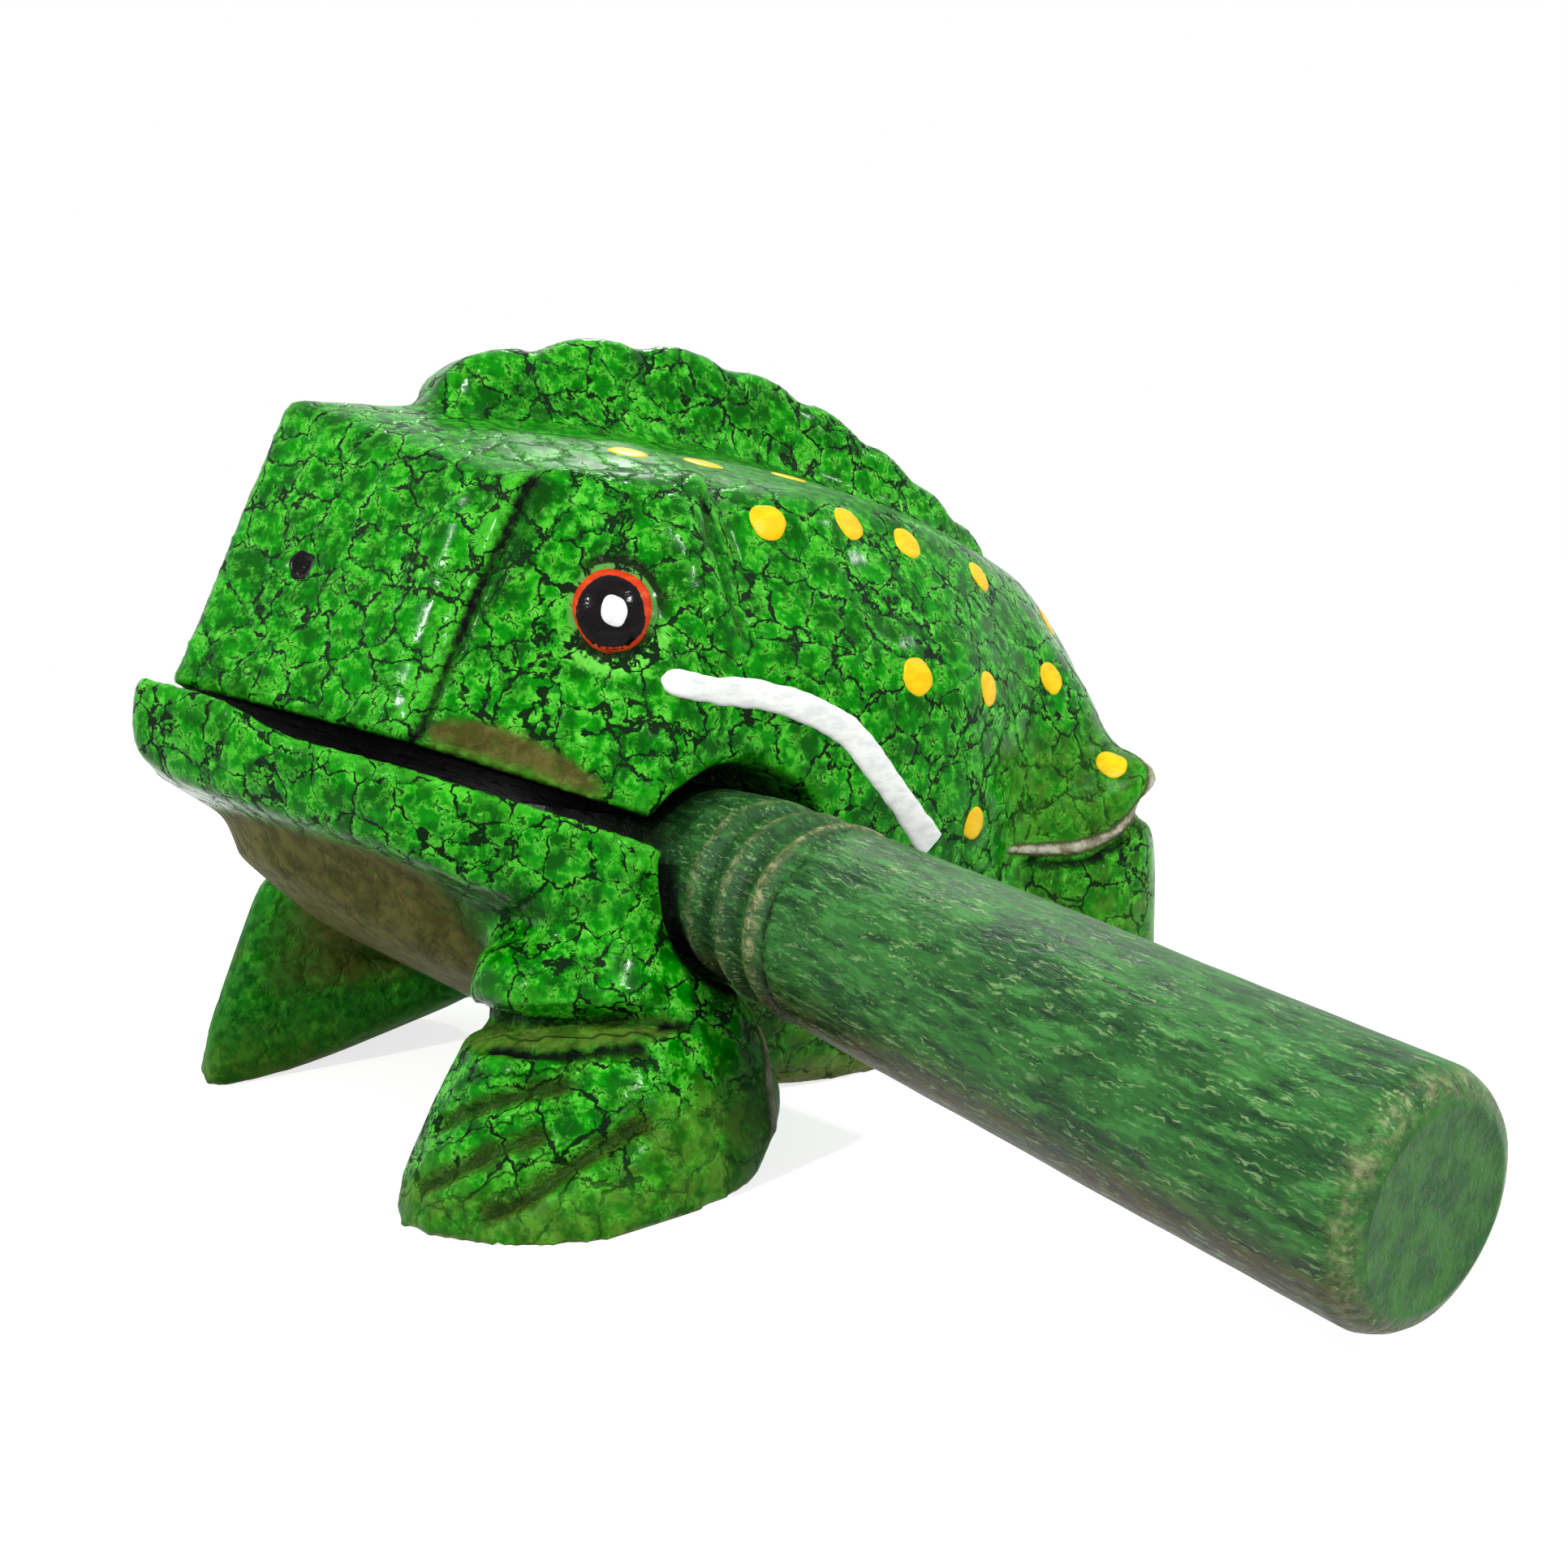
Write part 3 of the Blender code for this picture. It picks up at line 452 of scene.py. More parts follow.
def stained_wood():
    """Green stain over a whittled stick, whose grain runs along its own X axis, with painted shade under it,
    in its grooves and inside the bore.
    """
    n = Nodes("stained_stick")
    place = n.place()
    sway = n.shake(place, 3.5, 1.3)
    long = n.move("MULTIPLY", sway, (0.17, 1.0, 1.0))
    grain = n.noise(long, 0.75, 4.0, 0.66)
    broad = n.noise(n.move("MULTIPLY", place, (0.35, 1.0, 1.0)), 3.4, 3.0, 0.6)
    flake = n.noise(n.move("MULTIPLY", n.shake(place, 1.6, 0.9), (0.13, 1.0, 1.0)), 0.28, 3.0, 0.6)
    colour = n.mix(n.ease(broad, 0.36, 0.60), linear(26, 76, 30), linear(44, 106, 42))
    colour = n.mix(n.ease(grain, 0.50, 0.64, 0.0, 0.8), colour, linear(70, 140, 64))
    colour = n.mix(n.ease(grain, 0.46, 0.36, 0.0, 0.8), colour, linear(8, 46, 20))
    # Brown underside: partly the wood's own tone, partly painted shade where the stick faces down
    under = n.both(n.mask("under"), n.ease(broad, 0.32, 0.58, 0.55, 1.0))
    underside_brown_and_shade = n.mix(n.ease(grain, 0.40, 0.60), linear(30, 30, 16), linear(78, 70, 44))
    colour = n.mix(under, colour, underside_brown_and_shade)
    necked = n.both(n.mask("neck"), n.blotch(place, 2.0, 0.36, 0.60, 0.2, 0.7))
    colour = n.mix(necked, colour, linear(30, 66, 34))
    butt = n.mix(n.blotch(place, 2.4, 0.38, 0.62), linear(20, 78, 20), linear(50, 110, 36))
    colour = n.mix(n.both(n.mask("end"), 0.85), colour, butt)
    rubbed = n.blotch(n.move("MULTIPLY", place, (0.5, 1.0, 1.0)), 0.9, 0.34, 0.58, 0.1, 1.0)
    wood = n.mix(n.blotch(place, 0.7, 0.42, 0.62), linear(92, 104, 58), linear(178, 172, 130))
    colour = n.mix(n.both(n.mask("worn"), rubbed, 0.85), colour, wood)
    pale = n.both(n.ease(flake, 0.56, 0.66), n.blotch(place, 4.0, 0.36, 0.56, 0.25, 1.0))
    pale = n.both(pale, n.math("SUBTRACT", 1.0, n.both(n.mask("end"), 0.8)))
    colour = n.mix(n.both(pale, 0.6), colour, linear(150, 188, 122))
    # Dark seams, and painted shade in the coves and in the groove at the neck's end
    seam_and_groove_shade = n.both(n.mask("seam_and_groove_shade"), n.blotch(place, 1.6, 0.34, 0.50, 0.1, 1.0))
    colour = n.mix(seam_and_groove_shade, colour, linear(10, 18, 8))
    # Near-black painted shade where the stick lies inside the bore
    colour = n.mix(n.mask("hollow_shade"), colour, linear(4, 10, 5))
    height = n.math("ADD", n.both(grain, 1.0), n.both(broad, 1.4))
    height = n.math("SUBTRACT", n.math("ADD", height, n.both(flake, 0.3)), n.both(seam_and_groove_shade, 1.2))
    n.set(Base_Color=colour, Roughness=n.ease(grain, 0.3, 0.7, 0.34, 0.52), Normal=n.bump(height, 0.32, 0.8))
    n.shader.inputs["Specular IOR Level"].default_value = STICK_SHINE
    return n.material


def carved_frog():
    """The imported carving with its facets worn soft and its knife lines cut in, as one fine skin."""
    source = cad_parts["frog_body"]
    bm = bmesh.new()
    bm.from_mesh(source.data)
    bmesh.ops.remove_doubles(bm, verts=bm.verts, dist=1e-6)
    draft = link_object("draft", mesh_from(bm, "draft"))
    skin = draft.modifiers.new("skin", "REMESH")
    skin.mode = "VOXEL"
    skin.voxel_size = SKIN_STEP * MM
    skin.use_smooth_shade = True
    soft = draft.modifiers.new("soft", "SMOOTH")
    soft.factor = 0.5
    soft.iterations = SKIN_ROUNDS
    fine = evaluated(draft)
    soft.iterations = BLUNT_ROUNDS
    blunt = evaluated(draft)
    bpy.data.objects.remove(draft, do_unlink=True)
    fine.name = "carved_frog"
    places, normals = vertex_table(fine)
    blunt_places = vertex_table(blunt)[0]
    relief = np.einsum("ij,ij->i", places - blunt_places, normals)
    places += (0.85 * ease(np.abs(relief), 0.45, 0.10))[:, None] * (blunt_places - places)
    mirrored = places.copy()
    mirrored[:, 0] = np.abs(places[:, 0])
    facing = normals.copy()
    facing[:, 0] *= np.where(places[:, 0] < 0.0, -1.0, 1.0)
    groove, groove_show = line_offsets(mirrored, facing, GROOVES)
    cord, cord_show = line_offsets(mirrored, facing, CORDS)
    toes = toe_share(places)
    lift = CORD_RISE * cord_show * ease(np.abs(cord), CORD_REACH, 0.0)
    carve = groove_show * ease(np.abs(groove) / (GROOVE_REACH + TOE_WIDER * toes), 1.0, 0.0)
    lift -= (GROOVE_DEPTH + TOE_DEEPER * toes) * carve
    places += normals * lift[:, None]
    above_mouth = places[:, 2] - mouth_z(places[:, 1])
    chin = ease(mirrored[:, 0], 26.0, 10.0) * ease(places[:, 1], -50.0, -56.0) * ease(above_mouth, -6.5, -3.0)
    places[:, 2] += CHIN_RISE * chin * ease(above_mouth, -0.5, -1.2)
    fine.vertices.foreach_set("co", (places * MM).ravel())
    fine.update()
    set_values(fine, "groove", groove)
    set_values(fine, "cord", cord)
    set_mask(fine, "groove_show", groove_show)
    set_mask(fine, "cord_show", cord_show)
    closed = sheltered(fine, places, normals)
    paint_masks(fine, places, normals, relief, closed, groove, groove_show)
    return link_object("carved_frog", fine)


def toe_share(places):
    """1 on the toes of the front paws, 0 elsewhere."""
    return ease(places[:, 1], -27.0, -30.0) * ease(places[:, 2], 14.0, 12.5)


def evaluated(thing):
    return bpy.data.meshes.new_from_object(thing.evaluated_get(bpy.context.evaluated_depsgraph_get()))


def vertex_table(mesh):
    """Places in millimetres, and normals."""
    places = np.zeros(len(mesh.vertices) * 3)
    normals = np.zeros(len(mesh.vertices) * 3)
    mesh.vertices.foreach_get("co", places)
    mesh.vertices.foreach_get("normal", normals)
    return places.reshape(-1, 3) * 1000.0, normals.reshape(-1, 3)


def line_offsets(places, normals, lines):
    """Signed distance across the nearest of the lines along the skin, and where such a line shows."""
    best = np.full(len(places), 1e9)
    across = np.full(len(places), 9.0)
    past = np.full(len(places), 9.0)
    for line in lines:
        for first, second in zip(line, line[1:]):
            run = np.array(second) - np.array(first)
            length = np.linalg.norm(run)
            run /= length
            share = (places - first) @ run
            apart = places - first - np.clip(share, 0.0, length)[:, None] * run
            distance = np.linalg.norm(apart, axis=1)
            side = np.cross(run, normals)
            side /= np.linalg.norm(side, axis=1)[:, None] + 1e-9
            closer = distance < best
            beyond = np.zeros(len(places))
            if first is line[0]:
                beyond = np.maximum(beyond, -share)
            if second is line[-1]:
                beyond = np.maximum(beyond, share - length)
            past = np.where(closer, beyond, past)
            across = np.where(closer, np.einsum("ij,ij->i", side, apart), across)
            best = np.minimum(best, distance)
    return across, ease(best, 3.2, 2.2) * ease(past, 1.0, 0.1)


def sheltered(mesh, places, normals):
    """How shut in each place is, for the painted shade of hollows: 0 in the open, 1 far inside a slot or in
    the bore.
    """
    corners = []
    faces = []
    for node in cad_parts.values():
        start = len(corners)
        corners += [tuple(vertex.co) for vertex in node.data.vertices]
        faces += [tuple(start + index for index in face.vertices) for face in node.data.polygons]
    walls = BVHTree.FromPolygons(corners, faces)
    helper = np.where(np.abs(normals[:, 2:3]) < 0.9, (0.0, 0.0, 1.0), (1.0, 0.0, 0.0))
    across = np.cross(helper, normals)
    across /= np.linalg.norm(across, axis=1)[:, None]
    upward = np.cross(normals, across)
    starts = (places + normals * 0.4) * MM
    closed = np.zeros(len(places))
    for index in range(RAY_COUNT):
        rise = 1.0 - 0.92 * (index + 0.5) / RAY_COUNT
        turn = index * math.pi * (3.0 - math.sqrt(5.0))
        flat = math.sqrt(1.0 - rise * rise)
        ways = normals * rise + across * (flat * math.cos(turn)) + upward * (flat * math.sin(turn))
        for spot in range(len(places)):
            distance = walls.ray_cast(starts[spot], ways[spot], RAY_REACH * MM)[3]
            if distance is not None:
                closed[spot] += 1.0 - distance / (RAY_REACH * MM)
    closed /= RAY_COUNT
    ends = np.zeros(len(mesh.edges) * 2, dtype=np.int64)
    mesh.edges.foreach_get("vertices", ends)
    first, second = ends.reshape(-1, 2).T
    count = np.bincount(first, minlength=len(places)) + np.bincount(second, minlength=len(places))
    for _ in range(2):
        total = np.bincount(first, closed[second], len(places))
        total += np.bincount(second, closed[first], len(places))
        closed = 0.5 * closed + 0.5 * total / np.maximum(count, 1)
    return closed


def paint_masks(mesh, places, normals, relief, closed, groove, groove_show):
    """Where the glaze is thin, brown, duller or worn, and where painted shade and painted highlights go, from
    the place and shape of the surface.
    """
    x, y, z = np.abs(places[:, 0]), places[:, 1], places[:, 2]
    left = places[:, 0]
    up = normals[:, 2]
    above_mouth = z - mouth_z(y)
    cheek_line = groove_show * ease(above_mouth, -0.5, 0.5) * ease(x, 30.5, 29.5) * ease(y, -27.0, -28.0)
    jaw_side = ease(y, -26.0, -30.0)
    throat = jaw_side * ease(above_mouth, -10.6, -11.8) * ease(x, 27.0, 22.5) * ease(z, 8.0, 12.0)
    hump = 1.4 + 2.6 * np.clip(1.0 - ((y + 36.0) / 6.5) ** 2, 0.0, 1.0)
    cheek = ease(above_mouth, hump + 0.8, hump - 0.4) * ease(above_mouth, -1.4, -0.2)
    cheek *= ease(x, 25.4, 26.6) * ease(y, -42.6, -41.4) * ease(y, -29.0, -31.0)
    fold = ease(up, 0.2, 0.6) * ease(z, 13.9, 14.4) * ease(z, 16.0, 15.6) * jaw_side * ease(x, 26.0, 28.0)
    # Painted shade in the toe furrows
    furrow_shade = toe_share(places) * groove_show * ease(np.abs(groove), 1.3, 0.3)
    set_mask(mesh, "olive", np.maximum.reduce([throat, cheek, 0.3 * fold, 0.5 * furrow_shade]))
    back = ease(up, 0.66, 0.84) * ease(x, 6.2, 7.4) * ease(y, -36.0, -24.0) * ease(z, 38.0, 46.0)
    back *= 0.5 + 0.5 * ease(y, -6.0, 8.0)
    # Painted shade: the low parts of the far side are duller and greyer
    far_leg = ease(left, -10.0, -16.0) * ease(z, 25.0, 21.0) * ease(y, -15.0, -20.0)
    set_mask(mesh, "dull_and_far_leg_shade", np.maximum(back, far_leg))
    # An olive tint on the low parts: paws, heels, haunch, belly, thigh and the leg fold
    paw = ease(z, 8.5, 2.0) * ease(y, -12.0, -16.0) * ease(x, 22.0, 26.0)
    heel = ease(z, 12.0, 7.0) * ease(y, -38.0, -32.0) * ease(y, -12.0, -16.0) * ease(x, 38.0, 42.0)
    haunch = 0.6 * ease(z, 24.0, 12.0) * ease(y, 8.0, 14.0)
    belly = ease(z, 22.0, 8.0) * ease(y, -24.0, -14.0) * ease(y, 12.0, 4.0)
    thigh = 0.65 * ease(z, 37.0, 30.0) * ease(z, 19.0, 22.0) * ease(y, 18.0, 23.0)
    set_mask(mesh, "low_olive", np.maximum.reduce([0.85 * paw, 0.85 * heel, haunch, 0.7 * belly, thigh, fold]))
    sole = ease(up, -0.7, -0.9) * ease(z, 2.0, 0.6)
    set_mask(mesh, "bare", np.maximum(sole, 0.8 * ease(z, 5.0, 1.0) * belly))
    # Painted highlights: the lit wall of the cheek groove, the top of the lower lip, and raised ridges
    wall = ease(groove, 3.4, 2.2) * ease(groove, -0.1, 0.4) * cheek_line
    lip = 0.7 * ease(above_mouth, -7.5, -6.0) * ease(above_mouth, -1.6, -3.0) * jaw_side * ease(up, 0.3, 0.75)
    crown = 0.6 * ease(relief, 0.25, 0.6) * ease(z, 5.0, 9.0)
    set_mask(mesh, "smooth", ease(relief, 0.15, 0.5))
    set_mask(mesh, "painted_highlight", np.maximum.reduce([wall, lip, crown]))
    far = ease(above_mouth, 6.0, 20.0)
    wedge = ease(up, 0.1, -0.3) * ease(z, 17.5, 19.0) * ease(z, 28.5, 26.5) * jaw_side * ease(x, 22.0, 24.0)
    cheek_wall = ease(groove, 0.0, -0.5) * ease(groove, -1.5 - 1.5 * far, -0.8 - 1.3 * far) * cheek_line
    rear_leg = ease(left, 41.0, 43.5) * ease(y, -27.0, -22.0) * ease(z, 16.0, 12.0) * ease(y, -10.0, -14.0)
    set_mask(mesh, "shade", np.maximum.reduce([0.9 * cheek_wall, 0.8 * wedge, 0.9 * rear_leg]))
    # Painted shade, near black: in the mouth slot, in hollows that the rays find shut in, and faintly in
    # creases
    front = 0.887 * (y - MOUTH_FRONT[0]) - 0.461 * x
    flank = 0.62 * (y - SNOUT_CORNER[1]) - 0.784 * (x - SNOUT_CORNER[0])
    inside = np.minimum(front, flank)
    slot = ease(inside, 0.2, 1.4) * ease(above_mouth, 0.7, 0.3) * ease(above_mouth, -4.2, -3.6)
    slot *= ease(y, -8.0, -12.0)
    open_lip = ease(above_mouth, 0.7, 0.3) * ease(above_mouth, -5.2, -4.4) * ease(inside, 1.4, 0.2)
    toes = toe_share(places)
    hollow = ease(closed, 0.42, 0.64) * (1.0 - open_lip) * (1.0 - 0.8 * toes)
    crease = 0.3 * ease(relief, -0.6, -1.2) * (1.0 - 0.7 * toes)
    set_mask(mesh, "hollow_shade", np.maximum.reduce([hollow, slot, crease]))


def ray_place(skin, point, outward, lift):
    """The place on the skin below a point, raised by lift along the outward direction. Millimetres."""
    hit = skin.ray_cast((point + outward * 10.0) * MM, -outward, 0.03)[0]
    if hit is None:
        hit = skin.find_nearest(point * MM)[0]
    return hit / MM + outward * lift


def wobble(angle, seed, amount):
    return 1.0 + amount * noise.noise((math.cos(angle) * 1.3 + seed, math.sin(angle) * 1.3, seed * 0.7))


def bridge(bm, rings, steps):
    """Joins each ring of points to the next with faces. A ring of one point closes an end."""
    for first, second in zip(rings, rings[1:]):
        for index in range(steps):
            after = (index + 1) % steps
            corners = [
                first[index % len(first)], second[index % len(second)],
                second[after % len(second)], first[after % len(first)],
            ]
            bm.faces.new(list(dict.fromkeys(corners)))


def on_side(point, side):
    """A point of the left side, or its mirror image where side is -1."""
    return Vector((side * point[0], point[1], point[2]))


def add_blob(bm, skin, centre, outward, half_wide, half_tall, seed, lift, amount=0.10):
    """Adds a round dab of thick paint that follows the skin."""
    outward = Vector(outward).normalized()
    across = Vector((0, 0, 1)).cross(outward)
    across = (across if across.length > 0.05 else Vector((0, 1, 0))).normalized()
    upward = outward.cross(across)
    steps = 28
    profile = [(0.0, 1.0), (0.4, 0.97), (0.68, 0.86), (0.86, 0.62), (0.96, 0.25), (1.0, -0.4)]
    rings = []
    for share, height in profile:
        ring = []
        for index in range(steps if share else 1):
            angle = 2.0 * math.pi * index / steps
            edge = share * wobble(angle, seed, amount)
            point = Vector(centre) + across * edge * half_wide * math.cos(angle)
            point += upward * edge * half_tall * math.sin(angle)
            ring.append(bm.verts.new(ray_place(skin, point, outward, lift * height) * MM))
        rings.append(ring)
    bridge(bm, rings, steps)


def surface_way(skin, point):
    """The skin's outward direction around a point, evened over a few millimetres."""
    ways = [Vector((1, 0, 0)), Vector((0, 1, 0)), Vector((0, 0, 1))]
    total = skin.find_nearest(Vector(point) * MM)[1]
    for way in ways:
        for sign in SIDES:
            total += skin.find_nearest((Vector(point) + way * sign * 1.2) * MM)[1]
    return total.normalized()


def yellow_dots(skin):
    """Three rows of dots on each side, and a few on the thigh."""
    bm = bmesh.new()
    for index, (*place, half) in enumerate(DOTS):
        for side in SIDES:
            centre = on_side(place, side)
            outward = surface_way(skin, centre)
            add_blob(bm, skin, centre, outward, half, half * 1.04, index + 20.0 * side, DOT_RISE)
    return link_object("yellow_dots", mesh_from(bm, "yellow_dots"))


def smooth_line(points, count):
    """Points spread evenly in parameter along a Catmull-Rom curve through the given ones."""
    points = [Vector(point) for point in points]
    padded = [points[0] * 2 - points[1], *points, points[-1] * 2 - points[-2]]
    line = []
    for index in range(count + 1):
        where = index / count * (len(points) - 1)
        start = min(int(where), len(points) - 2)
        t = where - start
        a, b, c, d = padded[start:start + 4]
        square = 2 * a - 5 * b + 4 * c - d
        cube = 3 * b - a - 3 * c + d
        line.append(0.5 * (2 * b + (c - a) * t + square * t * t + cube * t ** 3))
    return line


def white_stripes(skin):
    """A brushed stroke on each flank, from behind the eye down to the bore."""
    half_profile = [(1.0, -0.4), (0.93, 0.4), (0.75, 0.8), (0.4, 1.0)]
    profile = [(-offset, height) for offset, height in half_profile]
    profile += [(0.0, 0.92), *reversed(half_profile)]
    bm = bmesh.new()
    for side in SIDES:
        line = [on_side(point, side) for point in smooth_line(STRIPE, STRIPE_STEPS)]
        rows = []
        for index, point in enumerate(line):
            share = index / STRIPE_STEPS
            ahead = (line[min(index + 1, STRIPE_STEPS)] - line[max(index - 1, 0)]).normalized()
            outward = surface_way(skin, point)
            across = ahead.cross(outward).normalized()
            round_end = math.sqrt(max(0.02, 1.0 - max(0.0, 1.0 - share / 0.04) ** 2))
            half = (1.25 + 0.35 * ease(np.float64(share), 0.05, 0.55)) * round_end
            half *= 1.0 + 0.12 * noise.noise((share * 9.0, side, 0.3))
            row = []
            for offset, height in profile:
                edge = 1.0 + 0.10 * noise.noise((share * 26.0, offset, side * 2.0))
                spot = point + across * offset * half * edge
                row.append(bm.verts.new(ray_place(skin, spot, outward, STRIPE_RISE * height) * MM))
            rows.append(row)
        for first, second in zip(rows, rows[1:]):
            for index in range(len(profile) - 1):
                bm.faces.new((first[index], first[index + 1], second[index + 1], second[index]))
    bmesh.ops.recalc_face_normals(bm, faces=bm.faces)
    return link_object("white_stripes", mesh_from(bm, "white_stripes"))


def eye_place(side):
    turn = Matrix.Rotation(math.radians(EYE_YAW if side > 0 else 180.0 - EYE_YAW), 4, "Z")
    pitch = Matrix.Rotation(math.radians(-EYE_PITCH), 4, "Y")
    return Matrix.Translation(on_side(EYE, side) * MM) @ turn @ pitch


def eye_ball(side):
    """The orange dome of an eye."""
    steps = 48
    bm = bmesh.new()
    rings = []
    for level in range(10):
        angle = math.radians(100.0 * level / 9)
        ring = []
        for index in range(steps if level else 1):
            around = 2.0 * math.pi * index / steps
            edge = math.sin(angle) * wobble(around, 3.0 * side, 0.05)
            ring.append(bm.verts.new(Vector((
                EYE_RISE * math.cos(angle),
                EYE_WIDE * edge * math.cos(around),
                EYE_TALL * edge * math.sin(around),
            )) * MM))
        rings.append(ring)
    bridge(bm, rings, steps)
    bmesh.ops.transform(bm, matrix=eye_place(side), verts=bm.verts)
    return bm


def painted_eyes():
    """An orange dome on each side, with a black pupil and a white glint dabbed on it."""
    rims = bmesh.new()
    pupils = bmesh.new()
    glints = bmesh.new()
    for side in SIDES:
        dome = eye_ball(side)
        skin = BVHTree.FromBMesh(dome)
        mesh = mesh_from(dome, "dome")
        rims.from_mesh(mesh)
        outward = eye_place(side).to_3x3() @ Vector((1, 0, 0))
        centre = on_side(EYE, side) + outward * EYE_RISE
        across = Vector((0, 0, 1)).cross(outward).normalized()
        upward = outward.cross(across)
        pupil = centre - across * side * 0.05 - upward * 0.42
        add_blob(pupils, skin, pupil, outward, *PUPIL_HALVES, 5.0 + side, PUPIL_RISE)
        glint = centre + across * side * 0.24 - upward * 0.50
        add_blob(glints, skin, glint, outward, *GLINT_HALVES, 9.0 + side, GLINT_RISE)
    pieces = []
    for bm, name in ((rims, "eye_rims"), (pupils, "eye_pupils"), (glints, "eye_glints")):
        bmesh.ops.recalc_face_normals(bm, faces=bm.faces)
        pieces.append(link_object(name, mesh_from(bm, name)))
    return pieces


def nostrils(skin):
    """Black dabs that line the drilled nostrils."""
    bm = bmesh.new()
    for side in SIDES:
        centre = on_side(NOSTRIL, side)
        add_blob(bm, skin, centre, on_side(NOSTRIL_WAY, side), 1.5, 1.6, 2.0 + side, NOSTRIL_RISE, 0.22)
    bmesh.ops.recalc_face_normals(bm, faces=bm.faces)
    return link_object("nostrils", mesh_from(bm, "nostrils"))


def stick_profile():
    """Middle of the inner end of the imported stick, its direction, and its radius along its axis."""
    places = vertex_table(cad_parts["rasp_stick"].data)[0]
    centre = places.mean(axis=0)
    axis = np.linalg.svd(places - centre, full_matrices=False)[2][0]
    axis *= math.copysign(1.0, axis[0])
    along = (places - centre) @ axis
    radius = np.linalg.norm(places - centre - along[:, None] * axis, axis=1)
    start = along.min()
    rings = {}
    for spot, reach in zip(np.round(along - start, 2), radius):
        rings[spot] = max(rings.get(spot, 0.0), reach)
    spots = np.array(sorted(rings))
    return centre + start * axis, axis, spots, np.array([rings[spot] for spot in spots])


def whittled_stick():
    """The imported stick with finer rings, slightly uneven as a hand-shaped stick is."""
    tip, axis, spots, radii = stick_profile()
    length = spots[-1]
    fine = np.arange(0.0, length + 0.01, STICK_STEP / 4.0)
    reach = np.interp(fine, spots, radii)
    kernel = np.ones(7) / 7.0
    softened = np.convolve(np.pad(reach, 3, mode="edge"), kernel, mode="valid")
    middle = (fine > 3.0) & (fine < length - 3.0)
    reach = np.where(middle, softened, reach)
    stops = [(0.0, share * radii[0]) for share in (0.0, 0.4, 0.75)]
    steps = np.arange(0.0, length + 0.01, STICK_STEP)
    stops += [(spot, float(np.interp(spot, fine, reach))) for spot in steps]
    last = stops[-1][1]
    dish = [(length - 0.35 * (1.0 - share ** 4), share * last) for share in (0.97, 0.9, 0.75, 0.5, 0.25, 0.0)]
    bm = bmesh.new()
    rings = []
    for spot, radius in stops + dish:
        ring = []
        for index in range(STICK_SIDES if radius else 1):
            angle = 2.0 * math.pi * index / STICK_SIDES
            toward = Vector((0.0, math.cos(angle), math.sin(angle)))
            uneven = noise.noise((spot * 0.045, toward.y * 0.9 + 4.0, toward.z * 0.9))
            uneven += 0.35 * noise.noise((spot * 0.22, toward.y * 2.4, toward.z * 2.4 + 7.0))
            place = Vector((spot, 0.0, 0.0)) + toward * radius * (1.0 + 0.014 * uneven)
            ring.append(bm.verts.new(place * MM))
        rings.append(ring)
    bridge(bm, rings, STICK_SIDES)
    bmesh.ops.recalc_face_normals(bm, faces=bm.faces)
    side = Vector((0, 0, 1)).cross(Vector(axis)).normalized()
    upward = Vector(axis).cross(side)
    turn = Matrix((Vector(axis), side, upward)).transposed()
    mesh = mesh_from(bm, "whittled_stick")
    stick_masks(mesh, turn, tip, length)
    stick = link_object("whittled_stick", mesh)
    stick.matrix_world = Matrix.Translation(Vector(tip) * MM) @ turn.to_4x4()
    return stick


def stick_masks(mesh, turn, tip, length):
    """Brown underside that is partly painted shade, worn collars and rim, dark seams with painted shade in
    the coves and the groove at the neck's end, and the painted shade inside the bore.
    """
    places, normals = vertex_table(mesh)
    along = places[:, 0]
    rise = normals[:, 2]
    radius = np.hypot(places[:, 1], places[:, 2])
    sideways = np.arctan2(places[:, 2], -places[:, 1])
    sway = 0.35 * np.sin(3.0 * sideways + 1.0)
    worn = np.zeros(len(places))
    for collar, half, wear in COLLARS:
        worn = np.maximum(worn, wear * ease(np.abs(along - collar - sway), half, 0.3 * half))
    worn *= ease(rise, -0.75, -0.3)
    rim = ease(along, length - 1.9, length - 1.0) * ease(radius, BUTT_FLAT + 0.4, BUTT_FLAT + 1.2)
    # Dark seams, with painted shade in the coves and in the groove at the neck's end
    seam_and_groove_shade = ease(np.abs(along - NECK_END - sway), 0.6, 0.25) * ease(rise, 0.75, 0.35)
    seam_and_groove_shade = np.maximum(seam_and_groove_shade, 0.8 * ease(np.abs(along - NECK_SEAM - sway), 0.5, 0.2) * ease(rise, -0.2, -0.4))
    for cove in COVES:
        seam_and_groove_shade = np.maximum(seam_and_groove_shade, 0.45 * ease(np.abs(along - cove - sway), 1.0, 0.3))
    end = ease(along, length - 1.0, length - 0.45) * ease(radius, BUTT_FLAT + 1.0, BUTT_FLAT)
    matrix = np.array(turn)
    closed = sheltered(mesh, places @ matrix.T + tip, normals @ matrix.T)
    set_mask(mesh, "under", ease(rise, 0.0, -0.5))
    set_mask(mesh, "neck", ease(along, NECK_END + 0.3, NECK_END - 1.3))
    set_mask(mesh, "worn", np.maximum(worn, 0.5 * rim))
    set_mask(mesh, "seam_and_groove_shade", seam_and_groove_shade)
    set_mask(mesh, "end", end)
    set_mask(mesh, "hollow_shade", ease(closed, 0.34, 0.60))


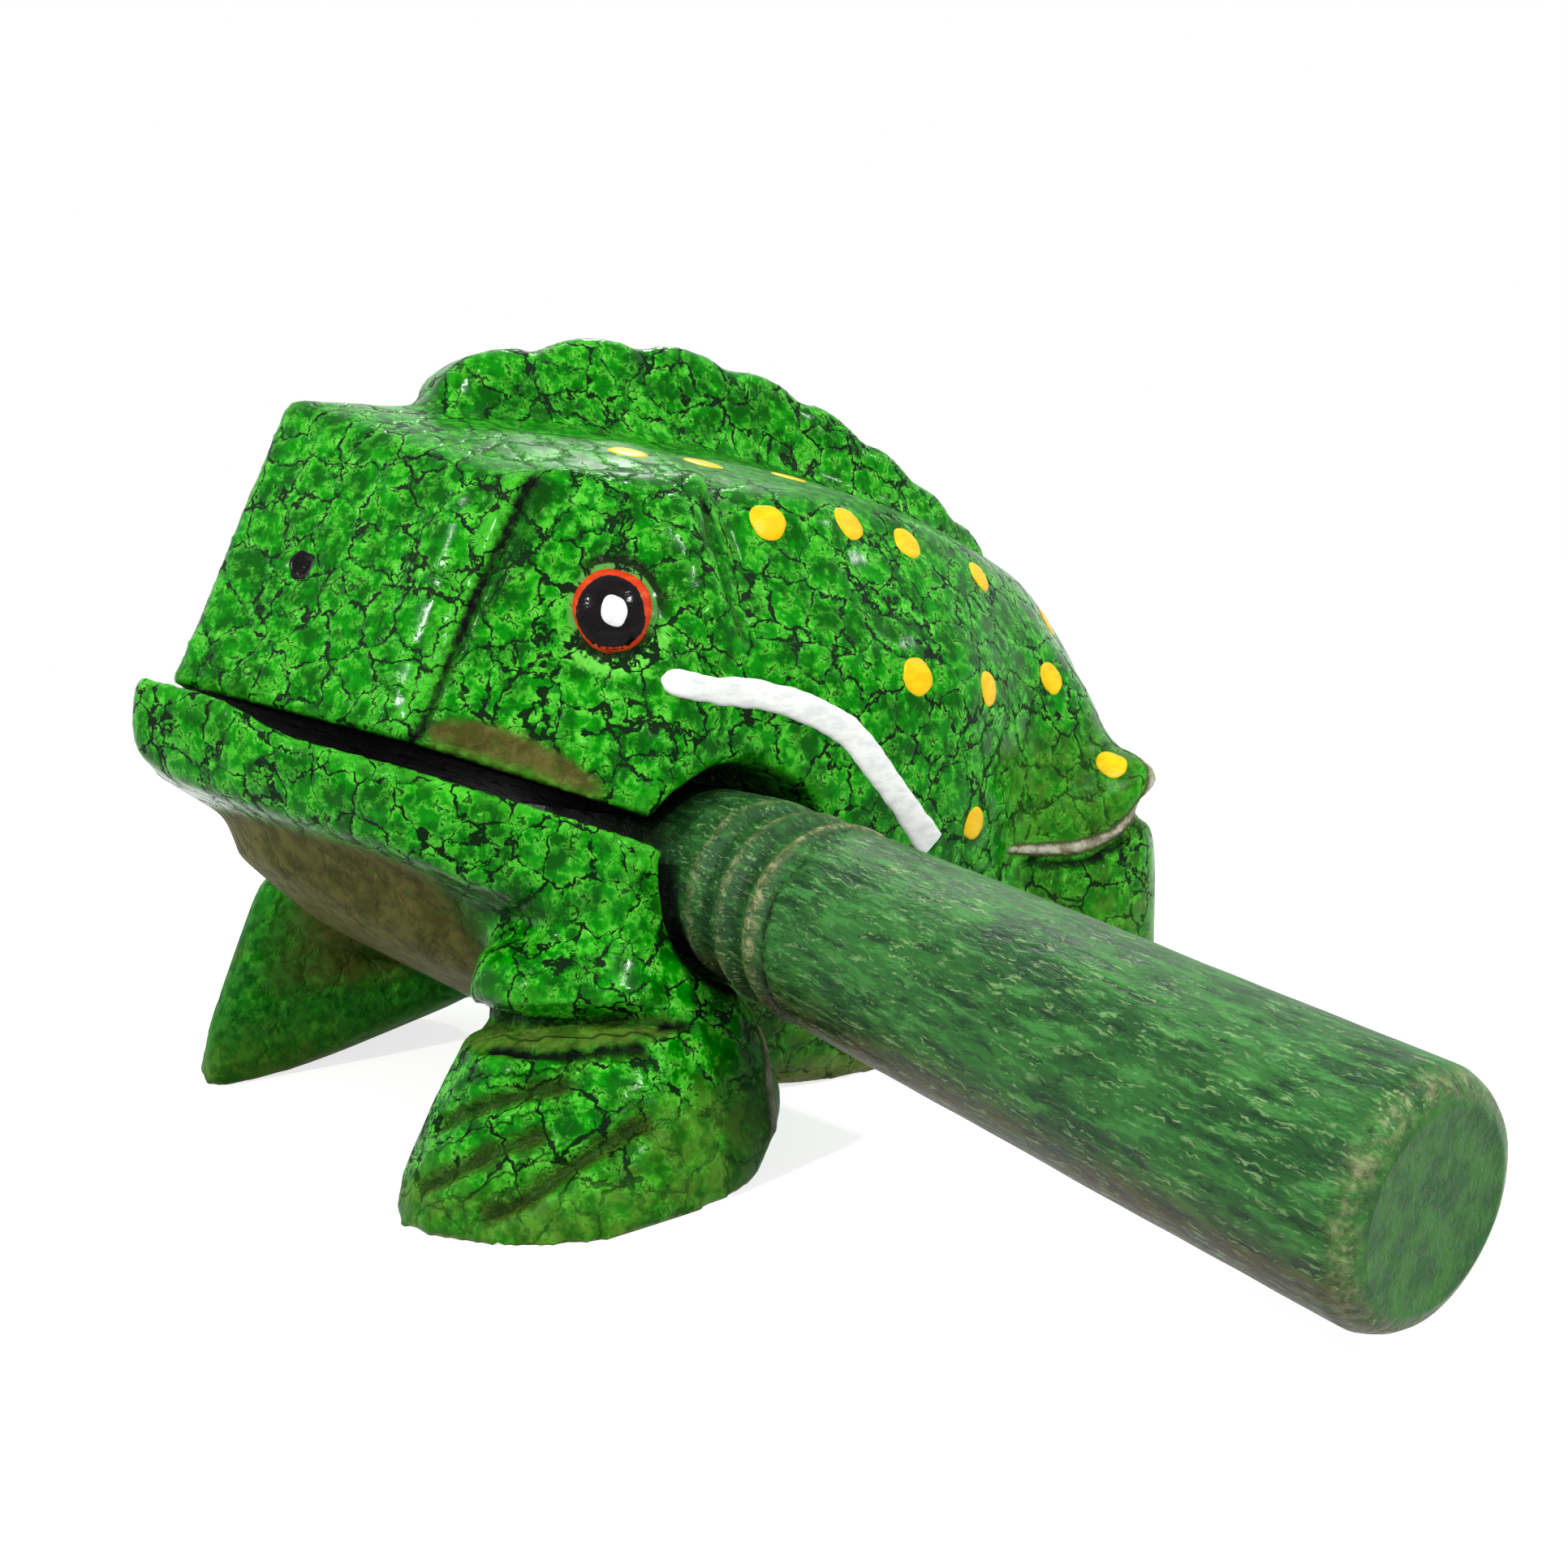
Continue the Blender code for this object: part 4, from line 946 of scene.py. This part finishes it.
def dress_frog():
    """The carving in its glaze, and the coats of thick paint on it."""
    frog = carved_frog()
    frog.data.materials.append(crackled_paint())
    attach(frog, "root")
    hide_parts("frog_body")

    skin = BVHTree.FromObject(frog, bpy.context.evaluated_depsgraph_get())
    yellow = thick_paint("yellow_paint", linear(255, 196, 0), linear(255, 214, 12), 0.35)
    white = thick_paint("white_paint", linear(254, 254, 250), linear(232, 236, 236), 0.4)
    orange = thick_paint("orange_paint", linear(204, 50, 8), linear(232, 78, 18), 0.3)
    black = thick_paint("black_paint", linear(8, 5, 8), linear(20, 14, 18), 0.15, PUPIL_SHINE)
    coats = list(zip(painted_eyes(), (orange, black, white)))
    coats += [(yellow_dots(skin), yellow), (white_stripes(skin), white), (nostrils(skin), black)]
    for piece, coat in coats:
        piece.data.materials.append(coat)
        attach(piece, "root")


def dress_stick():
    stick = whittled_stick()
    stick.data.materials.append(stained_wood())
    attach(stick, "root")
    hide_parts("rasp_stick")


def seen_directly(tree):
    """1 for rays from the camera, in mirrors and through glass, 0 for the light that falls on things."""
    path = tree.nodes.new("ShaderNodeLightPath")
    total = path.outputs["Is Camera Ray"]
    for name in ("Is Glossy Ray", "Is Transmission Ray"):
        made = tree.nodes.new("ShaderNodeMath")
        made.operation = "MAXIMUM"
        tree.links.new(total, made.inputs[0])
        tree.links.new(path.outputs[name], made.inputs[1])
        total = made.outputs[0]
    return total


def pale_stage():
    bm = bmesh.new()
    bmesh.ops.create_grid(bm, x_segments=1, y_segments=1, size=3.0)
    floor = link_object("floor", mesh_from(bm, "floor"))
    n = Nodes("pale_floor")
    n.set(Base_Color=(FLOOR_PALE, FLOOR_PALE, FLOOR_PALE, 1.0), Roughness=0.9)
    n.shader.inputs["Specular IOR Level"].default_value = 0.0
    n.shader.inputs["Emission Color"].default_value = (1.0, 1.0, 1.0, 1.0)
    n.put(n.both(seen_directly(n.tree), FLOOR_GLOW), n.shader.inputs["Emission Strength"])
    floor.data.materials.append(n.material)


def studio_light():
    world = bpy.data.worlds.new("studio")
    world.use_nodes = True
    tree = world.node_tree
    soft = tree.nodes["Background"]
    soft.inputs["Color"].default_value = (1.0, 1.0, 1.0, 1.0)
    soft.inputs["Strength"].default_value = WORLD_LIGHT
    white = tree.nodes.new("ShaderNodeBackground")
    white.inputs["Color"].default_value = (1.0, 1.0, 1.0, 1.0)
    chosen = tree.nodes.new("ShaderNodeMixShader")
    tree.links.new(seen_directly(tree), chosen.inputs[0])
    tree.links.new(soft.outputs[0], chosen.inputs[1])
    tree.links.new(white.outputs[0], chosen.inputs[2])
    tree.links.new(chosen.outputs[0], tree.nodes["World Output"].inputs[0])
    bpy.context.scene.world = world
    for name, place, size, power in LAMPS:
        data = bpy.data.lights.new(name, "AREA")
        data.size = size
        data.energy = power
        lamp = bpy.data.objects.new(name, data)
        bpy.context.scene.collection.objects.link(lamp)
        lamp.location = place
        lamp.rotation_euler = (Vector((0, 0, 0.03)) - Vector(place)).to_track_quat("-Z", "Y").to_euler()


def photo_camera():
    azimuth, elevation, roll = (math.radians(angle) for angle in (VIEW_AZIMUTH, VIEW_ELEVATION, VIEW_ROLL))
    back = Vector((
        math.sin(azimuth) * math.cos(elevation),
        -math.cos(azimuth) * math.cos(elevation),
        math.sin(elevation),
    ))
    level = (-back).cross(Vector((0, 0, 1))).normalized()
    upright = level.cross(-back)
    right = level * math.cos(roll) + upright * math.sin(roll)
    up = upright * math.cos(roll) - level * math.sin(roll)
    data = bpy.data.cameras.new("photo_camera")
    data.sensor_width = SENSOR
    data.lens = SENSOR * FOCAL_PIXELS / IMAGE_PIXELS
    data.clip_start = 0.01
    camera = bpy.data.objects.new("photo_camera", data)
    bpy.context.scene.collection.objects.link(camera)
    place = Matrix((right, up, back)).transposed().to_4x4()
    place.translation = (Vector(VIEW_TARGET) + back * VIEW_DISTANCE) * MM
    camera.matrix_world = place
    bpy.context.scene.camera = camera


dress_frog()
dress_stick()
pale_stage()
studio_light()
photo_camera()
bpy.context.scene.view_settings.view_transform = "Standard"
